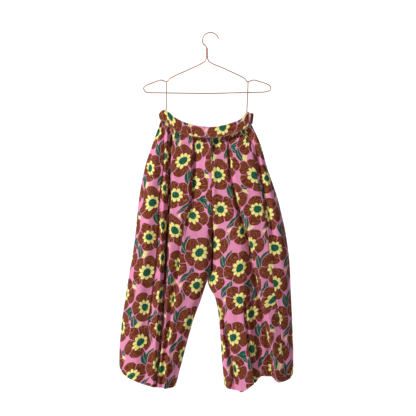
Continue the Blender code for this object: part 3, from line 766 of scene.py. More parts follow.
def pleat_laps(table, x, below, order):
    """Sideways shift of the fine pleats, and the cloth that they hide.

    order is 1 where the columns run towards +x, -1 where they run back.
    """
    shift, taken = np.zeros_like(x), np.zeros_like(x)
    for row in table:
        across, growth, left = along_ridge(row, x, below, PLEAT_START)
        size = row[3] * growth * left ** PLEAT_FALL
        shift = shift - PLEAT_LAP * size * lap_turn(across)
        taken = taken + PLEAT_TAKE * size * soft_step(order * across, 1.0)
    return shift, taken


def line_x(side, row, z):
    """x of one front line at any height."""
    top = float(band_foot(row[1]))
    return falling((top,) + LEVELS, (row[1],) + row[2], z)


def leg_lines(side, rows):
    """Every line round one leg, front then back: name, x, z and rise."""
    front = LINES[side]

    def heights(top, hem, rise):
        """z down a line and the rise of its fold over the section."""
        z = top + (hem - top) * rows
        return z, falling(FOLD_LEVELS, rise, z) * smooth((top - z) / WAIST_FADE)

    lines = []
    for row in front:
        z, height = heights(float(band_foot(row[1])), row[3], row[4])
        lines.append((row[0], line_x(side, row, z), z, height))
    edge, centre = lines[-1], lines[0]
    hem_x = [line[1][-1] for line in lines]
    hem_z = [line[2][-1] for line in lines]
    turn = TURN[side]
    for name, waist, hip, foot, lift, rise in BACK_LINES:
        share = pchip((0.0, HIP_SHARE, 1.0), (waist, hip, foot), rows)
        x = edge[1] + share * (centre[1] - edge[1])
        top_x = front[-1][1] + waist * (front[0][1] - front[-1][1])
        top = float(band_foot(top_x) - back_sag(top_x, 1.0))
        hem = float(np.interp(turn * x[-1], turn * np.asarray(hem_x), hem_z)) + lift
        lines.append((name, x, *heights(top, hem, rise)))
    z = centre[2] - BACK_SAG * (1.0 - smooth(rows / HIP_SHARE))
    lines.append(("back_centre", line_x(side, front[0], z), z, np.zeros_like(z)))
    return lines


def column_places(side, lines):
    """Line numbers, with shares, of the columns round one leg.

    Columns crowd together at the leg's two sides and next to a fold edge.
    """
    names = column(lines, 0)
    edge, last = names.index("edge"), len(lines) - 1
    folded = [names.index(row[1]) for row in FOLD_EDGES if row[0] == side]
    places = [np.zeros(1)]
    for number in range(last):
        here, following = lines[number][1], lines[number + 1][1]
        gap = np.mean(np.abs(following[GAP_FROM_ROW:] - here[GAP_FROM_ROW:]))
        near_fold = number in folded or number + 1 in folded
        step = FOLD_STEP if near_fold else COLUMN_STEP
        count = max(LEAST_COLUMNS, int(round(gap / step)))
        if edge in (number, number + 1) or number in (0, last - 1):
            count = max(count, SIDE_COLUMNS)
        shares = np.arange(1, count + 1) / count
        if number in (0, edge):
            shares = 1.0 - np.cos(shares * np.pi / 2)
        elif number + 1 in (edge, last):
            shares = np.sin(shares * np.pi / 2)
        places.append(number + shares)
    return np.concatenate(places)


def fold_edges(side, places, x, z, lines):
    """Sideways and outward shift where one layer laps over the next, and the
    cloth that the folds hide.

    Across a fold edge, with t from -1 to 1, a point moves sideways by the lap
    times its turn, which turns the cloth back on itself, and out or in by half
    the step, fading with the distance from the edge. A dip runs beside the
    edge on the side that lies behind, narrow at its top and wide and shallow
    at its foot.
    """
    names = column(lines, 0)
    shift, lift, hidden = np.zeros_like(x), np.zeros_like(x), np.zeros_like(x)
    edge = names.index("edge")
    for leg, name, front, top, foot, lap_top, lap_foot, step, dip, tucked in FOLD_EDGES:
        if leg != side:
            continue
        number = names.index(name)
        on_back = number > edge
        own = (places > edge) == on_back
        middle = np.interp(-z, -lines[number][2], lines[number][1])
        window = smooth((top - z) / FOLD_EASE) * smooth((z - foot) / FOLD_EASE)
        share = np.clip((top - z) / (top - foot), 0.0, 1.0)
        lap = lap_top + (lap_foot - lap_top) * share
        across = front * (x - middle) / FOLD_WIDTH
        over = soft_step(across, FOLD_STEP_HALF)
        away = FOLD_WIDTH * np.abs(across)
        raised = over * np.exp(-away / FOLD_FRONT_REACH)
        sunk = (1.0 - over) * np.exp(-away / FOLD_BACK_REACH)
        beside = np.exp(-((across + DIP_PLACE) / (DIP_WIDTH + DIP_SPREAD * share)) ** 2)
        beside = beside * (1.0 - DIP_FADE * share)
        own_window = window * own[None, :]
        shift = shift - front * lap * lap_turn(across) * own_window
        lift = lift + (0.5 * step * (raised - sunk) - dip * beside) * own_window
        along = front * across * TURN[side] * (-1.0 if on_back else 1.0)
        passed = np.where(own[None, :], soft_step(along, FOLD_TAKE_HALF), float(not on_back))
        hidden = hidden + tucked * passed * window
    return shift, lift, hidden


def creases(table, x, z):
    """Sum of soft troughs and ridges, each a bell across a bowed line.

    The line bows sideways by 4 times the bow times t (1 - t), t along it.
    """
    total = np.zeros_like(x)
    for x0, z0, x1, z1, bow, width, depth in table:
        run = np.array([x1 - x0, z1 - z0], float)
        length = np.hypot(*run)
        run = run / length
        along = ((x - x0) * run[0] + (z - z0) * run[1]) / length
        off = (x - x0) * run[1] - (z - z0) * run[0]
        off = off - 4.0 * bow * along * (1.0 - along)
        taper = smooth(along * CREASE_RISE) * smooth((1.0 - along) * CREASE_FALL)
        total = total + depth * taper * np.exp(-((off / width) ** 2))
    return total


def settle_centre(side_edge):
    """Bring a centre column to the centre seam over the crotch."""
    z = side_edge[:, 2]
    left = line_x("left", LEFT_LINES[0], z)
    right = line_x("right", RIGHT_LINES[0], z)
    free = smooth((MEET_Z - z) / CROTCH_SPREAD)
    seam = 0.5 * (left + right)
    side_edge[:, 0] = seam + (side_edge[:, 0] - seam) * free
    side_edge[:, 1] = np.where(z <= CROTCH_Z, 0.0, side_edge[:, 1])


def ring_normals(points, closed_rows, turn):
    """Outward unit normals of a grid whose columns run round the body."""
    before = np.concatenate([points[:, -2:-1], points[:, :-1]], axis=1)
    after = np.concatenate([points[:, 1:], points[:, 1:2]], axis=1)
    before[~closed_rows, 0] = points[~closed_rows, 0]
    after[~closed_rows, -1] = points[~closed_rows, -1]
    down = np.gradient(points, axis=0)
    return unit(-turn * np.cross(after - before, down))


def panel_relief(large, small, soft, x, z, below, order):
    """Gathers, pleats with creases, shift of the pleats, cloth they hide."""
    fine = PLEAT_GAIN * gathers(small, x, below, PLEAT_START) + creases(soft, x, z)
    return [gathers(large, x, below, GATHER_START), fine, *pleat_laps(small, x, below, order)]


def leg_surface(side):
    """Fine outer grid round one leg, rows by columns by xyz.

    x, z and rise come from the control lines by a monotone cubic across them;
    y is the slab section's half depth plus rise, gathers, folds and creases.
    """
    rows = np.linspace(0.0, 1.0, int(LEG_LENGTH / ROW_STEP))
    lines = leg_lines(side, rows)
    names = column(lines, 0)
    places = column_places(side, lines)
    count = np.arange(len(lines))
    x, z, rise = (pchip(count, np.stack(column(lines, k)), places).T for k in (1, 2, 3))
    edge = names.index("edge")
    on_back = places > edge
    true_top = band_foot(x[0]) - back_sag(x[0], on_back * 1.0)
    z = z + (true_top - z[0])[None, :] * (1.0 - smooth(rows[:, None] / TOP_EASE))
    front = LINES[side]
    base = section_depth(x, z, line_x(side, front[0], z), line_x(side, front[edge], z))
    below = z[:1] - z
    near_edge = np.clip(np.abs(places - edge) / EDGE_QUIET, 0.0, 1.0)
    near_centre = np.clip(np.minimum(places, len(lines) - 1 - places), 0.0, 1.0)
    quiet = (near_edge * near_centre)[None, :]
    front_relief = panel_relief(*FRONT_RELIEF, x, z, below, TURN[side])
    back_relief = panel_relief(*BACK_RELIEF, x, z, below, -TURN[side])
    at_edge = places == edge
    taken = back_relief[3]
    back_relief[3] = front_relief[3][:, at_edge] + (taken - taken[:, at_edge])
    coarse, fine, tuck, taken = (
        np.where(on_back[None, :], back, before)
        for before, back in zip(front_relief, back_relief))
    shift, lift, hidden = fold_edges(side, places, x, z, lines)
    sink = WAIST_SINK * np.exp(-((below / WAIST_SINK_REACH) ** 2))
    depth = base + rise + coarse * quiet - sink * quiet + lift * quiet
    depth[:, at_edge] = 0.0
    sign = np.where(on_back, 1.0, -1.0)[None, :]
    plain = np.stack([x + (shift + tuck) * quiet, sign * depth, z], axis=2)
    points = plain.copy()
    points[:, :, 1] += sign * fine * quiet
    for grid in (plain, points):
        settle_centre(grid[:, 0])
        settle_centre(grid[:, -1])
    seam = int(np.argmin(np.abs(places - names.index("side_seam"))))
    return plain, points, seam, hidden + taken


def cloth_across(side, plain, hidden, seam, start, lean):
    """Distance along the cloth from column start, evened out down the leg.

    The gathers take up more cloth the nearer it is to the waist seam, and the
    folds hide some. lean is the share of the start column's sideways run that
    the grain of the cloth does not follow. Over the crotch the cloth between
    the outer side and the back seam is spread so that the grain keeps to the
    back seam.
    """
    turn = TURN[side]
    steps = np.linalg.norm(np.diff(plain[:, :, :2], axis=1), axis=2)
    below = plain[:1, 1:, 2] - plain[:, 1:, 2]
    for part, (take, reach) in ((slice(0, seam), FRONT_TAKE), (slice(seam, None), BACK_TAKE)):
        steps[:, part] *= 1.0 + take * (1.0 - smooth(below[:, part] / reach))
    across = np.concatenate([np.zeros((len(plain), 1)), np.cumsum(steps, 1)], 1)
    across = across - across[:, start:start + 1]
    padded = np.pad(across, ((GRAIN_EASE, GRAIN_EASE), (0, 0)), mode="edge")
    window = np.hanning(2 * GRAIN_EASE + 3)[1:-1]
    window = window / window.sum()
    parts = [w * padded[k:k + len(across)] for k, w in enumerate(window)]
    run = plain[:, start:start + 1, 0] - plain[:1, start:start + 1, 0]
    taken = hidden - hidden[:, start:start + 1]
    across = np.sum(parts, axis=0) + taken + turn * lean * run
    edge = int(np.argmax(turn * plain[len(plain) // 2, :, 0]))
    past = across - across[:, edge:edge + 1]
    share = np.clip(past / past[:, -1:], 0.0, 1.0)
    back_seam = across[:, -1:]
    over_crotch = plain[:, -1:, 2] >= CROTCH_Z
    at_crotch = back_seam[~over_crotch][0]
    return across + share * np.where(over_crotch, at_crotch - back_seam, 0.0)


def groove(points, number, depth, reach):
    """Sink the grid towards y = 0 by a bell of the distance to a seam column.

    depth has a value in millimetres for each row.
    """
    away = np.linalg.norm(points - points[:, number][:, None], axis=2)
    sink = np.minimum(depth[:, None], np.abs(points[:, :, 1]))
    sink = sink * np.exp(-((away / reach) ** 2))
    points = points.copy()
    points[:, :, 1] -= sink * np.sign(points[:, :, 1])
    return points


def grid_faces(rows, columns):
    """Quads of a grid of vertices, row by row."""
    index = np.arange(rows * columns).reshape(rows, columns)
    a, b = index[:-1, :-1], index[:-1, 1:]
    c, d = index[1:, 1:], index[1:, :-1]
    return np.stack([part.ravel() for part in (a, b, c, d)], axis=1)


def add_object(name, data):
    """A new object in the scene, at the origin."""
    thing = bpy.data.objects.new(name, data)
    bpy.context.scene.collection.objects.link(thing)
    return thing


def put_mesh(name, points, faces, uv, materials):
    """One object at the origin from arrays of points, faces and map places.

    points are in millimetres; faces is a list of arrays, each with one row of
    vertex numbers for a face; uv has a place in metres for each vertex.
    """
    mesh = bpy.data.meshes.new(name)
    flat = np.concatenate([part.ravel() for part in faces]).astype(np.int32)
    sizes = np.concatenate([np.full(len(part), part.shape[1]) for part in faces])
    starts = np.concatenate([[0], np.cumsum(sizes)[:-1]]).astype(np.int32)
    mesh.vertices.add(len(points))
    mesh.vertices.foreach_set("co", (np.asarray(points) * MM).astype(np.float32).ravel())
    mesh.loops.add(len(flat))
    mesh.loops.foreach_set("vertex_index", flat)
    mesh.polygons.add(len(sizes))
    mesh.polygons.foreach_set("loop_start", starts)
    mesh.update(calc_edges=True)
    layer = mesh.uv_layers.new(name="Cloth")
    layer.uv.foreach_set("vector", np.asarray(uv, np.float32)[flat].ravel())
    mesh.shade_smooth()
    for material in materials:
        mesh.materials.append(material)
    return add_object(name, mesh)


def thin_wall(thing, thickness):
    """Give a cloth surface its thickness, wrong side in the second material."""
    solid = thing.modifiers.new("Thickness", "SOLIDIFY")
    solid.thickness = thickness
    solid.offset = -1.0
    solid.material_offset = 1
    solid.use_rim = True


def leg_panel(side, outer, out, across, node, cloth):
    """One cloth panel of a leg with its waist tuck and its turned-up hem.

    The hem turns in by a half circle and runs up again inside the leg.
    """
    shift = PRINT_SHIFT[node]
    u = across * TURN[side] + shift[0]
    v = outer[:, :, 2] + shift[1]
    tuck = outer[:1] - TUCK_IN * out[:1]
    tuck[:, :, 2] += WAIST_TUCK
    arc = np.linspace(0.0, np.pi, HEM_ROWS)[1:]
    down = np.array([0.0, 0.0, -1.0])
    flat_out = unit(out[-1] * np.array([1.0, 1.0, 0.0]))
    roll = [
        outer[-1] - flat_out * HEM_ROLL * (1.0 - np.cos(a)) + down * HEM_ROLL * np.sin(a)
        for a in arc
    ]
    inside = [outer[-1 - k] - 2.0 * HEM_ROLL * out[-1 - k] for k in range(1, HEM_ROWS)]
    rows = np.concatenate([tuck, outer, np.stack(roll), np.stack(inside)])
    fall = [v[-1] - HEM_ROLL * a for a in arc]
    fall += [fall[-1] - (v[-1 - k] - v[-1]) for k in range(1, HEM_ROWS)]
    u_rows = np.concatenate([u[:1], u, np.repeat(u[-1:], len(fall), 0)])
    v_rows = np.concatenate([v[:1] + WAIST_TUCK, v, np.stack(fall)])
    uv = np.stack([u_rows, v_rows], axis=2).reshape(-1, 2) * MM
    faces = grid_faces(*rows.shape[:2])
    if side == "right":
        faces = faces[:, ::-1]
    piece = put_mesh(node + "_cloth", rows.reshape(-1, 3), [faces], uv, cloth)
    thin_wall(piece, bpy.context.scene.palazzo.cloth_thickness)
    return piece


def leg_grid(side):
    """The outer grid of a leg: gathers, creases, hem ripples and seams."""
    plain, points, seam, hidden = leg_surface(side)
    closed = points[:, 0, 2] < CROTCH_Z
    normal = ring_normals(points, closed, TURN[side])
    z = points[:, :, 2]
    across = cloth_across(side, plain, np.zeros_like(hidden), seam, 0, 0.0)
    ripple = np.zeros_like(z)
    for length, height, phase in HEM_RIPPLES:
        ripple += height * np.sin(2 * np.pi * across / length + phase)
    near_hem = np.exp(-((z - z[-1:]) / HEM_REACH) ** 2)
    points = points + (ripple * near_hem)[:, :, None] * normal
    for number in (0, -1):
        points[:, number, 1] = np.where(closed, 0.0, points[:, number, 1])
        points = groove(points, number, SEAM_GROOVE * ~closed, SEAM_REACH)
    points = groove(points, seam, np.full(len(points), SEAM_GROOVE), SEAM_REACH)
    return plain, points, normal, seam, hidden


def mouth_shift(points, seam, on_front):
    """Front edge of the pocket mouth stands out, the cloth behind it sinks."""
    z = points[:, seam, 2]
    open_part = smooth((MOUTH_TOP - z) / MOUTH_EASE) * smooth((z - MOUTH_FOOT) / MOUTH_EASE)
    away = np.linalg.norm(points - points[:, seam:seam + 1], axis=2)
    amount = -MOUTH_RISE if on_front else MOUTH_SINK
    points = points.copy()
    points[:, :, 1] += amount * open_part[:, None] * np.exp(-((away / MOUTH_REACH) ** 2))
    return points


def build_leg(side, front_node, back_node, cloth):
    """Front and back panel of one leg."""
    plain, points, normal, seam, hidden = leg_grid(side)
    pieces = []
    for node, part, start, lean in (
        (front_node, slice(0, seam + 1), 0, FRONT_LEAN),
        (back_node, slice(seam, None), seam, BACK_LEAN),
    ):
        outer = mouth_shift(points, seam, node == front_node)[:, part]
        across = cloth_across(side, plain, hidden, seam, start, lean)[:, part]
        pieces.append(leg_panel(side, outer, normal[:, part], across, node, cloth))
    return pieces


def band_stations():
    """Places round the waistband: x, and 1 on the back or 0 on the front."""
    front = np.linspace(BAND_SEAM_LEFT, BAND_SEAM_RIGHT, FRONT_STATIONS)
    turn = np.sin(np.linspace(0.0, 1.0, TURN_STATIONS) * np.pi / 2)
    left_out = BAND_SEAM_LEFT + (LEFT_TIP - BAND_SEAM_LEFT) * turn[1:]
    left_in = LEFT_TIP + TIP_TURN * (1.0 - turn[::-1][1:])
    back = np.linspace(LEFT_TIP + TIP_TURN, RIGHT_TIP - TIP_TURN, BACK_STATIONS)[1:]
    right_in = RIGHT_TIP - TIP_TURN * (1.0 - turn[1:])
    right_out = RIGHT_TIP + (BAND_SEAM_RIGHT - RIGHT_TIP) * (1.0 - turn[::-1][1:])
    x = np.concatenate([front[::-1], left_out, left_in, back, right_in, right_out])
    on_back = np.ones(len(x))
    on_back[:len(front) + len(left_out)] = 0.0
    on_back[len(x) - len(right_out):] = 0.0
    return x, on_back


def band_line(share):
    """Middle line of the band's wall at a share of its height, with normals."""
    x, on_back = band_stations()
    tip = np.where(x < 0, LEFT_TIP, RIGHT_TIP)
    sag = back_sag(x, on_back)
    low, high = band_foot(x) - sag, band_top(x) - sag
    depth = section_depth(x, band_foot(x), 0.0, tip) * (1.0 - BAND_TAPER * share)
    y = np.where(on_back > 0, depth, -depth)
    lean = np.sign(x) * TIP_LEAN * share * smooth(1.0 - np.abs(x - tip) / TIP_TURN)
    line = np.stack([x + lean, y, low + (high - low) * share], axis=1)
    run = np.roll(line, -1, 0) - np.roll(line, 1, 0)
    return line, unit(np.stack([-run[:, 1], run[:, 0], 0 * x], axis=1))


def band_profile():
    """Closed outline of the band's wall: share of height, out, up in mm."""
    arc = np.linspace(0.0, np.pi, ROUND_PLACES)
    half = BAND_WALL / 2
    middle = BAND_PROUD - half
    up = [(s, BAND_PROUD + BAND_PILLOW * np.sin(np.pi * s), 0.0)
          for s in np.linspace(*OUTER_FACE)]
    top = [(1.0, middle + half * np.cos(a), half * (np.sin(a) - 1.0)) for a in arc]
    down = [(s, BAND_PROUD - BAND_WALL, 0.0) for s in np.linspace(*INNER_FACE)]
    foot = [(0.0, middle - half * np.cos(a), BAND_FOOT_ROUND * (1.0 - np.sin(a)))
            for a in arc]
    return up + top + down + foot


def band_pucker(across, share):
    """Shallow waves that the gathers press into the band's lower part."""
    wave = sum(part * np.sin(across / length + phase) for length, phase, part in BAND_WAVES)
    return BAND_WAVE_HEIGHT * wave * (1.0 - share) ** 2


def build_band(cloth):
    """Front band between the side seams, back band round the rest."""
    middle, _ = band_line(0.5)
    across = run_length(middle)
    rings, heights = [], []
    for share, out, up in band_profile():
        line, turn = band_line(share)
        ring = line + (out + band_pucker(across, share))[:, None] * turn
        ring[:, 2] += up
        rings.append(ring)
        on_inside = out < INNER_FROM
        heights.append(FACE_HEIGHT * share + up + INNER_OFFSET * on_inside)
    points = np.asarray(rings + rings[:1])
    centre_front = across[int(np.argmin(np.abs(middle[:FRONT_STATIONS, 0])))]
    shift_u, shift_v = PRINT_SHIFT["waistband"]
    u = (centre_front - across + shift_u) * MM
    v = (np.array(heights + [heights[0] + WAY_ROUND]) + shift_v) * MM
    front = points[:, :FRONT_STATIONS], u[:FRONT_STATIONS]
    back = (
        np.concatenate([points[:, FRONT_STATIONS - 1:], points[:, :1]], axis=1),
        np.append(u[FRONT_STATIONS - 1:], u[-1] - SIDE_TURN_IN * MM),
    )
    pieces = []
    for node, (wall, wall_u) in zip(BANDS, (front, back)):
        rows, columns = wall.shape[:2]
        uv = np.stack(np.broadcast_arrays(wall_u[None, :], v[:, None]), 2).reshape(-1, 2)
        end = np.arange(rows - 1)[None, :] * columns
        faces = [grid_faces(rows, columns)[:, ::-1], end[:, ::-1], end + columns - 1]
        pieces.append(put_mesh(node + "_cloth", wall.reshape(-1, 3), faces, uv, cloth[:1]))
    return pieces


def rounded(corners, reaches):
    """Polyline with each inner corner replaced by a quadratic blend."""
    corners = np.asarray(corners, float)
    path = [corners[:1]]
    t = np.linspace(0.0, 1.0, BEND_STEPS)[:, None]
    for i, wanted in enumerate(reaches, 1):
        before = corners[i - 1] - corners[i]
        after = corners[i + 1] - corners[i]
        reach = min(wanted, BEND_LIMIT * np.linalg.norm(before),
                    BEND_LIMIT * np.linalg.norm(after))
        start = corners[i] + unit(before) * reach
        stop = corners[i] + unit(after) * reach
        path.append((1 - t) ** 2 * start + 2 * t * (1 - t) * corners[i] + t * t * stop)
    path.append(corners[-1:])
    return np.concatenate(path)


def neck_strand(phase):
    """Helix of one of the two wires that twist round each other."""
    share = np.linspace(0.0, 1.0, CURVE_STEPS)
    z = NECK_TOP + (NECK_FOOT - NECK_TOP) * share
    angle = phase + 2 * np.pi * NECK_TURNS * share
    radius = WIRE_RADIUS + STRAND_GAP
    return np.stack([NECK_X + radius * np.cos(angle), radius * np.sin(angle), z], 1)


def bent_run(start, bends, stop):
    """Path between two points with a rounded corner at each bend."""
    corners = [start] + [(x, 0.0, z) for x, z, reach in bends] + [stop]
    return rounded(corners, column(bends, 2))[1:-1]


def hanger_path():
    """Centre line of the wire: hook, neck, arms and bar, neck again."""
    angle = np.radians(np.linspace(HOOK_START, HOOK_STOP, CURVE_STEPS))
    hook = np.stack([HOOK_RADIUS * np.cos(angle), 0 * angle,
                     WIRE_RADIUS - HOOK_RADIUS + HOOK_RADIUS * np.sin(angle)], 1)
    first, second = neck_strand(np.pi), neck_strand(0.0)[::-1]
    bend = bent_run(hook[-1], HOOK_BENDS, first[0])
    body = bent_run(first[-1], FRAME_BENDS, second[0])
    return np.concatenate([hook, bend, first, body, second])


def even_path(path, step):
    """The path again with points a step apart along it."""
    path = path[np.append(True, np.diff(run_length(path)) > SAME_PLACE)]
    along = run_length(path)
    places = np.linspace(0.0, along[-1], int(along[-1] / step) + 1)
    return np.stack([np.interp(places, along, path[:, k]) for k in range(3)], 1), places


def ease_path(path, passes):
    """Average each point with its neighbours; the ends stay."""
    for _ in range(passes):
        path[1:-1] = 0.25 * path[:-2] + 0.5 * path[1:-1] + 0.25 * path[2:]
    return path


def sweep(name, path, outline, ends, materials, along):
    """A closed outline carried along a path, its width kept square to it.

    outline has places (sideways, out) in turning order; ends scales it at each
    path point.
    """
    run = unit(np.gradient(path, axis=0))
    side = unit(np.cross(np.array([0.0, 1.0, 0.0]), run))
    out = np.cross(run, side)
    shape = np.vstack([outline, outline[:1]])
    rings = (path[:, None, :]
             + ends[:, None, None] * shape[None, :, :1] * side[:, None, :]
             + ends[:, None, None] * shape[None, :, 1:] * out[:, None, :])
    rows, columns = rings.shape[:2]
    end = np.arange(columns - 1)[None, :]
    faces = [grid_faces(rows, columns), end[:, ::-1], end + (rows - 1) * columns]
    uv = np.stack(np.broadcast_arrays(run_length(shape)[None, :], along[:, None]), 2) * MM
    return put_mesh(name, rings.reshape(-1, 3), faces, uv.reshape(-1, 2), materials)


def outline_round(width, thick, sides, power):
    """Outline of a wire, or of a tape with soft edges where power is under 1.

    Each coordinate is half the size times cos or sin to that power.
    """
    angle = np.linspace(0.0, 2 * np.pi, sides, endpoint=False)
    c, s = np.cos(angle), np.sin(angle)
    return np.stack([0.5 * width * np.sign(c) * np.abs(c) ** power,
                     0.5 * thick * np.sign(s) * np.abs(s) ** power], 1)


def end_scale(along, radius):
    """Round off both ends over one radius, as a quarter circle."""
    from_end = np.minimum(along, along[-1] - along)
    share = np.clip(from_end / radius, 0.0, 1.0)
    return np.maximum(np.sqrt(1.0 - (1.0 - share) ** 2), END_LEAST)


def tape_path(notch_x, foot_x, foot_z):
    """Line of a tape from the band over the hanger's notch and back."""
    tip = LEFT_TIP if foot_x < 0 else RIGHT_TIP
    depth = float(section_depth(foot_x, band_foot(foot_x), 0.0, tip)) * (1.0 - BAND_TAPER)
    y = BAND_WALL - BAND_PROUD + SEAM_GAP + TAPE_THICK / 2 + TAPE_CLEAR - depth
    back_y = y + TAPE_THICK + SEAM_GAP
    over = WIRE_RADIUS + LOOP_GAP + TAPE_THICK / 2
    arch = np.radians(np.linspace(0.0, 180.0, ARCH_STEPS))
    top = np.stack([notch_x + 0 * arch, -over * np.cos(arch),
                    NOTCH_Z + over * np.sin(arch)], 1)
    share = (NOTCH_Z - BAR_PASS) / (NOTCH_Z - foot_z)
    pass_x = notch_x + share * (foot_x - notch_x)
    sewn_top = foot_z + TAPE_HIDDEN
    front = [(foot_x, y, foot_z), (foot_x, y, sewn_top), (pass_x, -over, BAR_PASS)]
    back = [(pass_x, over, BAR_PASS), (foot_x, back_y, sewn_top), (foot_x, back_y, foot_z)]
    return np.concatenate([front, top, back])


def stitch_run(path, normal, pitch, length, radius):
    """Points and faces of a run of spindle-shaped stitches along a path."""
    along = run_length(path)
    places = np.arange(0.5 * pitch, along[-1], pitch)

    def at(wanted, values):
        """Values along the path at the wanted places."""
        return np.stack([np.interp(wanted, along, values[:, k]) for k in range(3)], 1)

    centre = at(places, path)
    run = unit(at(places + LOOK_AHEAD, path) - centre + 1e-9)
    out = unit(at(places, normal))
    side = unit(np.cross(run, out))
    sink = STITCH_SINK * radius * out
    points = [centre - 0.5 * length * run - sink]
    for reach in (-STITCH_BELLY, STITCH_BELLY):
        for a, b in ((1, 0), (0, 1), (-1, 0), (0, -1)):
            points.append(centre + reach * length * run + radius * (a * side + b * out))
    points.append(centre + 0.5 * length * run - sink)
    base = (np.arange(len(places)) * len(points))[:, None]
    quads, tips = [], []
    for k in range(4):
        j = (k + 1) % 4
        quads.append(base + np.array([[1 + k, 5 + k, 5 + j, 1 + j]]))
        tips.append(base + np.array([[0, 1 + k, 1 + j]]))
        tips.append(base + np.array([[9, 5 + j, 5 + k]]))
    points = np.stack(points, 1).reshape(-1, 3)
    return points, np.concatenate(quads), np.concatenate(tips)


def join_runs(name, runs, materials):
    """One piece from several runs of stitches."""
    offsets = np.cumsum([0] + [len(run[0]) for run in runs])
    points = np.concatenate(column(runs, 0))
    faces = [np.concatenate([run[k] + offset for run, offset in zip(runs, offsets)])
             for k in (1, 2)]
    return put_mesh(name, points, faces, points[:, [0, 2]] * MM, materials)


def band_stitches(share, on_front, pitch):
    """Stitches along one length of the band at a share of its height."""
    line, normal = band_line(share)
    order = np.arange(FRONT_STATIONS)
    if not on_front:
        order = np.append(np.arange(FRONT_STATIONS - 1, len(line)), 0)
    path = line[order] + (BAND_PROUD + BAND_STITCH_RISE) * normal[order]
    return stitch_run(path, normal[order], pitch, STITCH_SHARE * pitch, THREAD_RADIUS)


def hem_stitches(points, normal, seam, pitch):
    """Stitches that hold the hem of the front and of the back panel."""
    row = -HEM_ROWS
    path = points[row] + LEG_STITCH_RISE * normal[row]
    return [
        stitch_run(path[part], normal[row, part], pitch, STITCH_SHARE * pitch,
                   HEM_THREAD_RADIUS)
        for part in (slice(0, seam + 1), slice(seam, None))
    ]


def mouth_stitches(points, normal, seam, pitch):
    """Stitches beside the pocket mouth's edge."""
    shifted = mouth_shift(points, seam, True)
    z = shifted[:, seam, 2]
    part = (z < MOUTH_TOP - MOUTH_END) & (z > MOUTH_FOOT + MOUTH_END)
    away = np.linalg.norm(shifted[part][:, :seam] - shifted[part][:, seam:seam + 1], axis=2)
    number = int(np.argmin(np.abs(away.mean(0) - MOUTH_ROW)))
    path = shifted[part, number] + LEG_STITCH_RISE * normal[part, number]
    return stitch_run(path, normal[part, number], MOUTH_PITCH * pitch,
                      MOUTH_STITCH * pitch, THREAD_RADIUS)


class Shader:
    """Short hand for the nodes of one material."""

    def __init__(self, name):
        self.material = bpy.data.materials.new(name)
        self.material.use_nodes = True
        self.tree = self.material.node_tree

    def node(self, kind, inputs, output=0, **settings):
        """A node with its settings; inputs maps sockets to values or links."""
        made = self.tree.nodes.new(kind)
        for key, value in settings.items():
            setattr(made, key, value)
        for key, value in inputs.items():
            if isinstance(value, bpy.types.NodeSocket):
                self.tree.links.new(value, made.inputs[key])
            else:
                made.inputs[key].default_value = value
        return made.outputs[output]

    def math(self, operation, *values, clamp=False):
        """One step of arithmetic with numbers."""
        return self.node("ShaderNodeMath", dict(enumerate(values)),
                         operation=operation, use_clamp=clamp)

    def times(self, first, second):
        """Product of two numbers."""
        return self.math("MULTIPLY", first, second)

    def line(self, value, slope, start):
        """The value times the slope, plus the start."""
        return self.math("MULTIPLY_ADD", value, slope, start)

    def vector(self, operation, *values, output=0):
        """One step of arithmetic with vectors."""
        return self.node("ShaderNodeVectorMath", dict(enumerate(values)),
                         output, operation=operation)

    def split(self, vector):
        """The three numbers of a vector."""
        return self.node("ShaderNodeSeparateXYZ", {0: vector}).node.outputs

    def edge(self, inside, soft):
        """1 where inside is over 0, with an edge soft wide."""
        return self.math("MULTIPLY_ADD", inside, 1.0 / soft, 0.5, clamp=True)

    def over(self, value, limit, soft):
        """1 where the value is over the limit, with an edge soft wide."""
        return self.edge(self.math("SUBTRACT", value, limit), soft)

    def mix(self, share, below, above, blend="MIX"):
        """Two colours mixed by a share."""
        return self.node("ShaderNodeMix", {0: share, 6: below, 7: above}, 2,
                         data_type="RGBA", blend_type=blend)

    def noise(self, place, scale, detail, roughness, output=0):
        """Cloudy noise: its number, or its colour where output is 1."""
        return self.node("ShaderNodeTexNoise", {"Vector": place, "Scale": scale,
                                                "Detail": detail, "Roughness": roughness},
                         output)

    def bump(self, height, strength, distance, **below):
        """Normal over a relief of that height, and over another one below."""
        return self.node("ShaderNodeBump", {"Height": height, "Strength": strength,
                                            "Distance": distance, **below})

    def finish(self, base, normal, **values):
        """The material, its surface given colour, relief and plain values."""
        surface = self.tree.nodes["Principled BSDF"]
        self.tree.links.new(base, surface.inputs["Base Color"])
        self.tree.links.new(normal, surface.inputs["Normal"])
        for key, value in values.items():
            surface.inputs[key.replace("_", " ")].default_value = value
        return self.material


def toned(tone, share, towards=(0.0, 0.0, 0.0)):
    """A colour as linear RGBA, taken a share of the way to another one."""
    mixed = np.array(tone[:3]) * (1.0 - share) + np.array(towards) * share
    return (*map(float, mixed), 1.0)


def tile_place(shader, place, centre):
    """Place within the repeat, measured from a motif's centre."""
    away = shader.vector("SUBTRACT", place, (*centre, 0.0))
    half = (TILE[0] / 2, TILE[1] / 2, 1.0)
    return shader.vector("WRAP", away, half, tuple(-h for h in half))


def petal_ring(shader, angle, start, away, count, rim, roundness):
    """Rim of a ring of petals, and distance from the gap between two of them.

    With b the angle times half their number, the rim is at rim[0] plus rim[1]
    times |cos b| to the power of the roundness; the gap is where cos b is 0.
    """
    beat = shader.line(angle, count / 2, start)
    lobe = shader.math("ABSOLUTE", shader.math("COSINE", beat))
    reach = shader.line(shader.math("POWER", lobe, roundness), rim[1], rim[0])
    return reach, shader.times(shader.times(away, lobe), 2.0 / count)


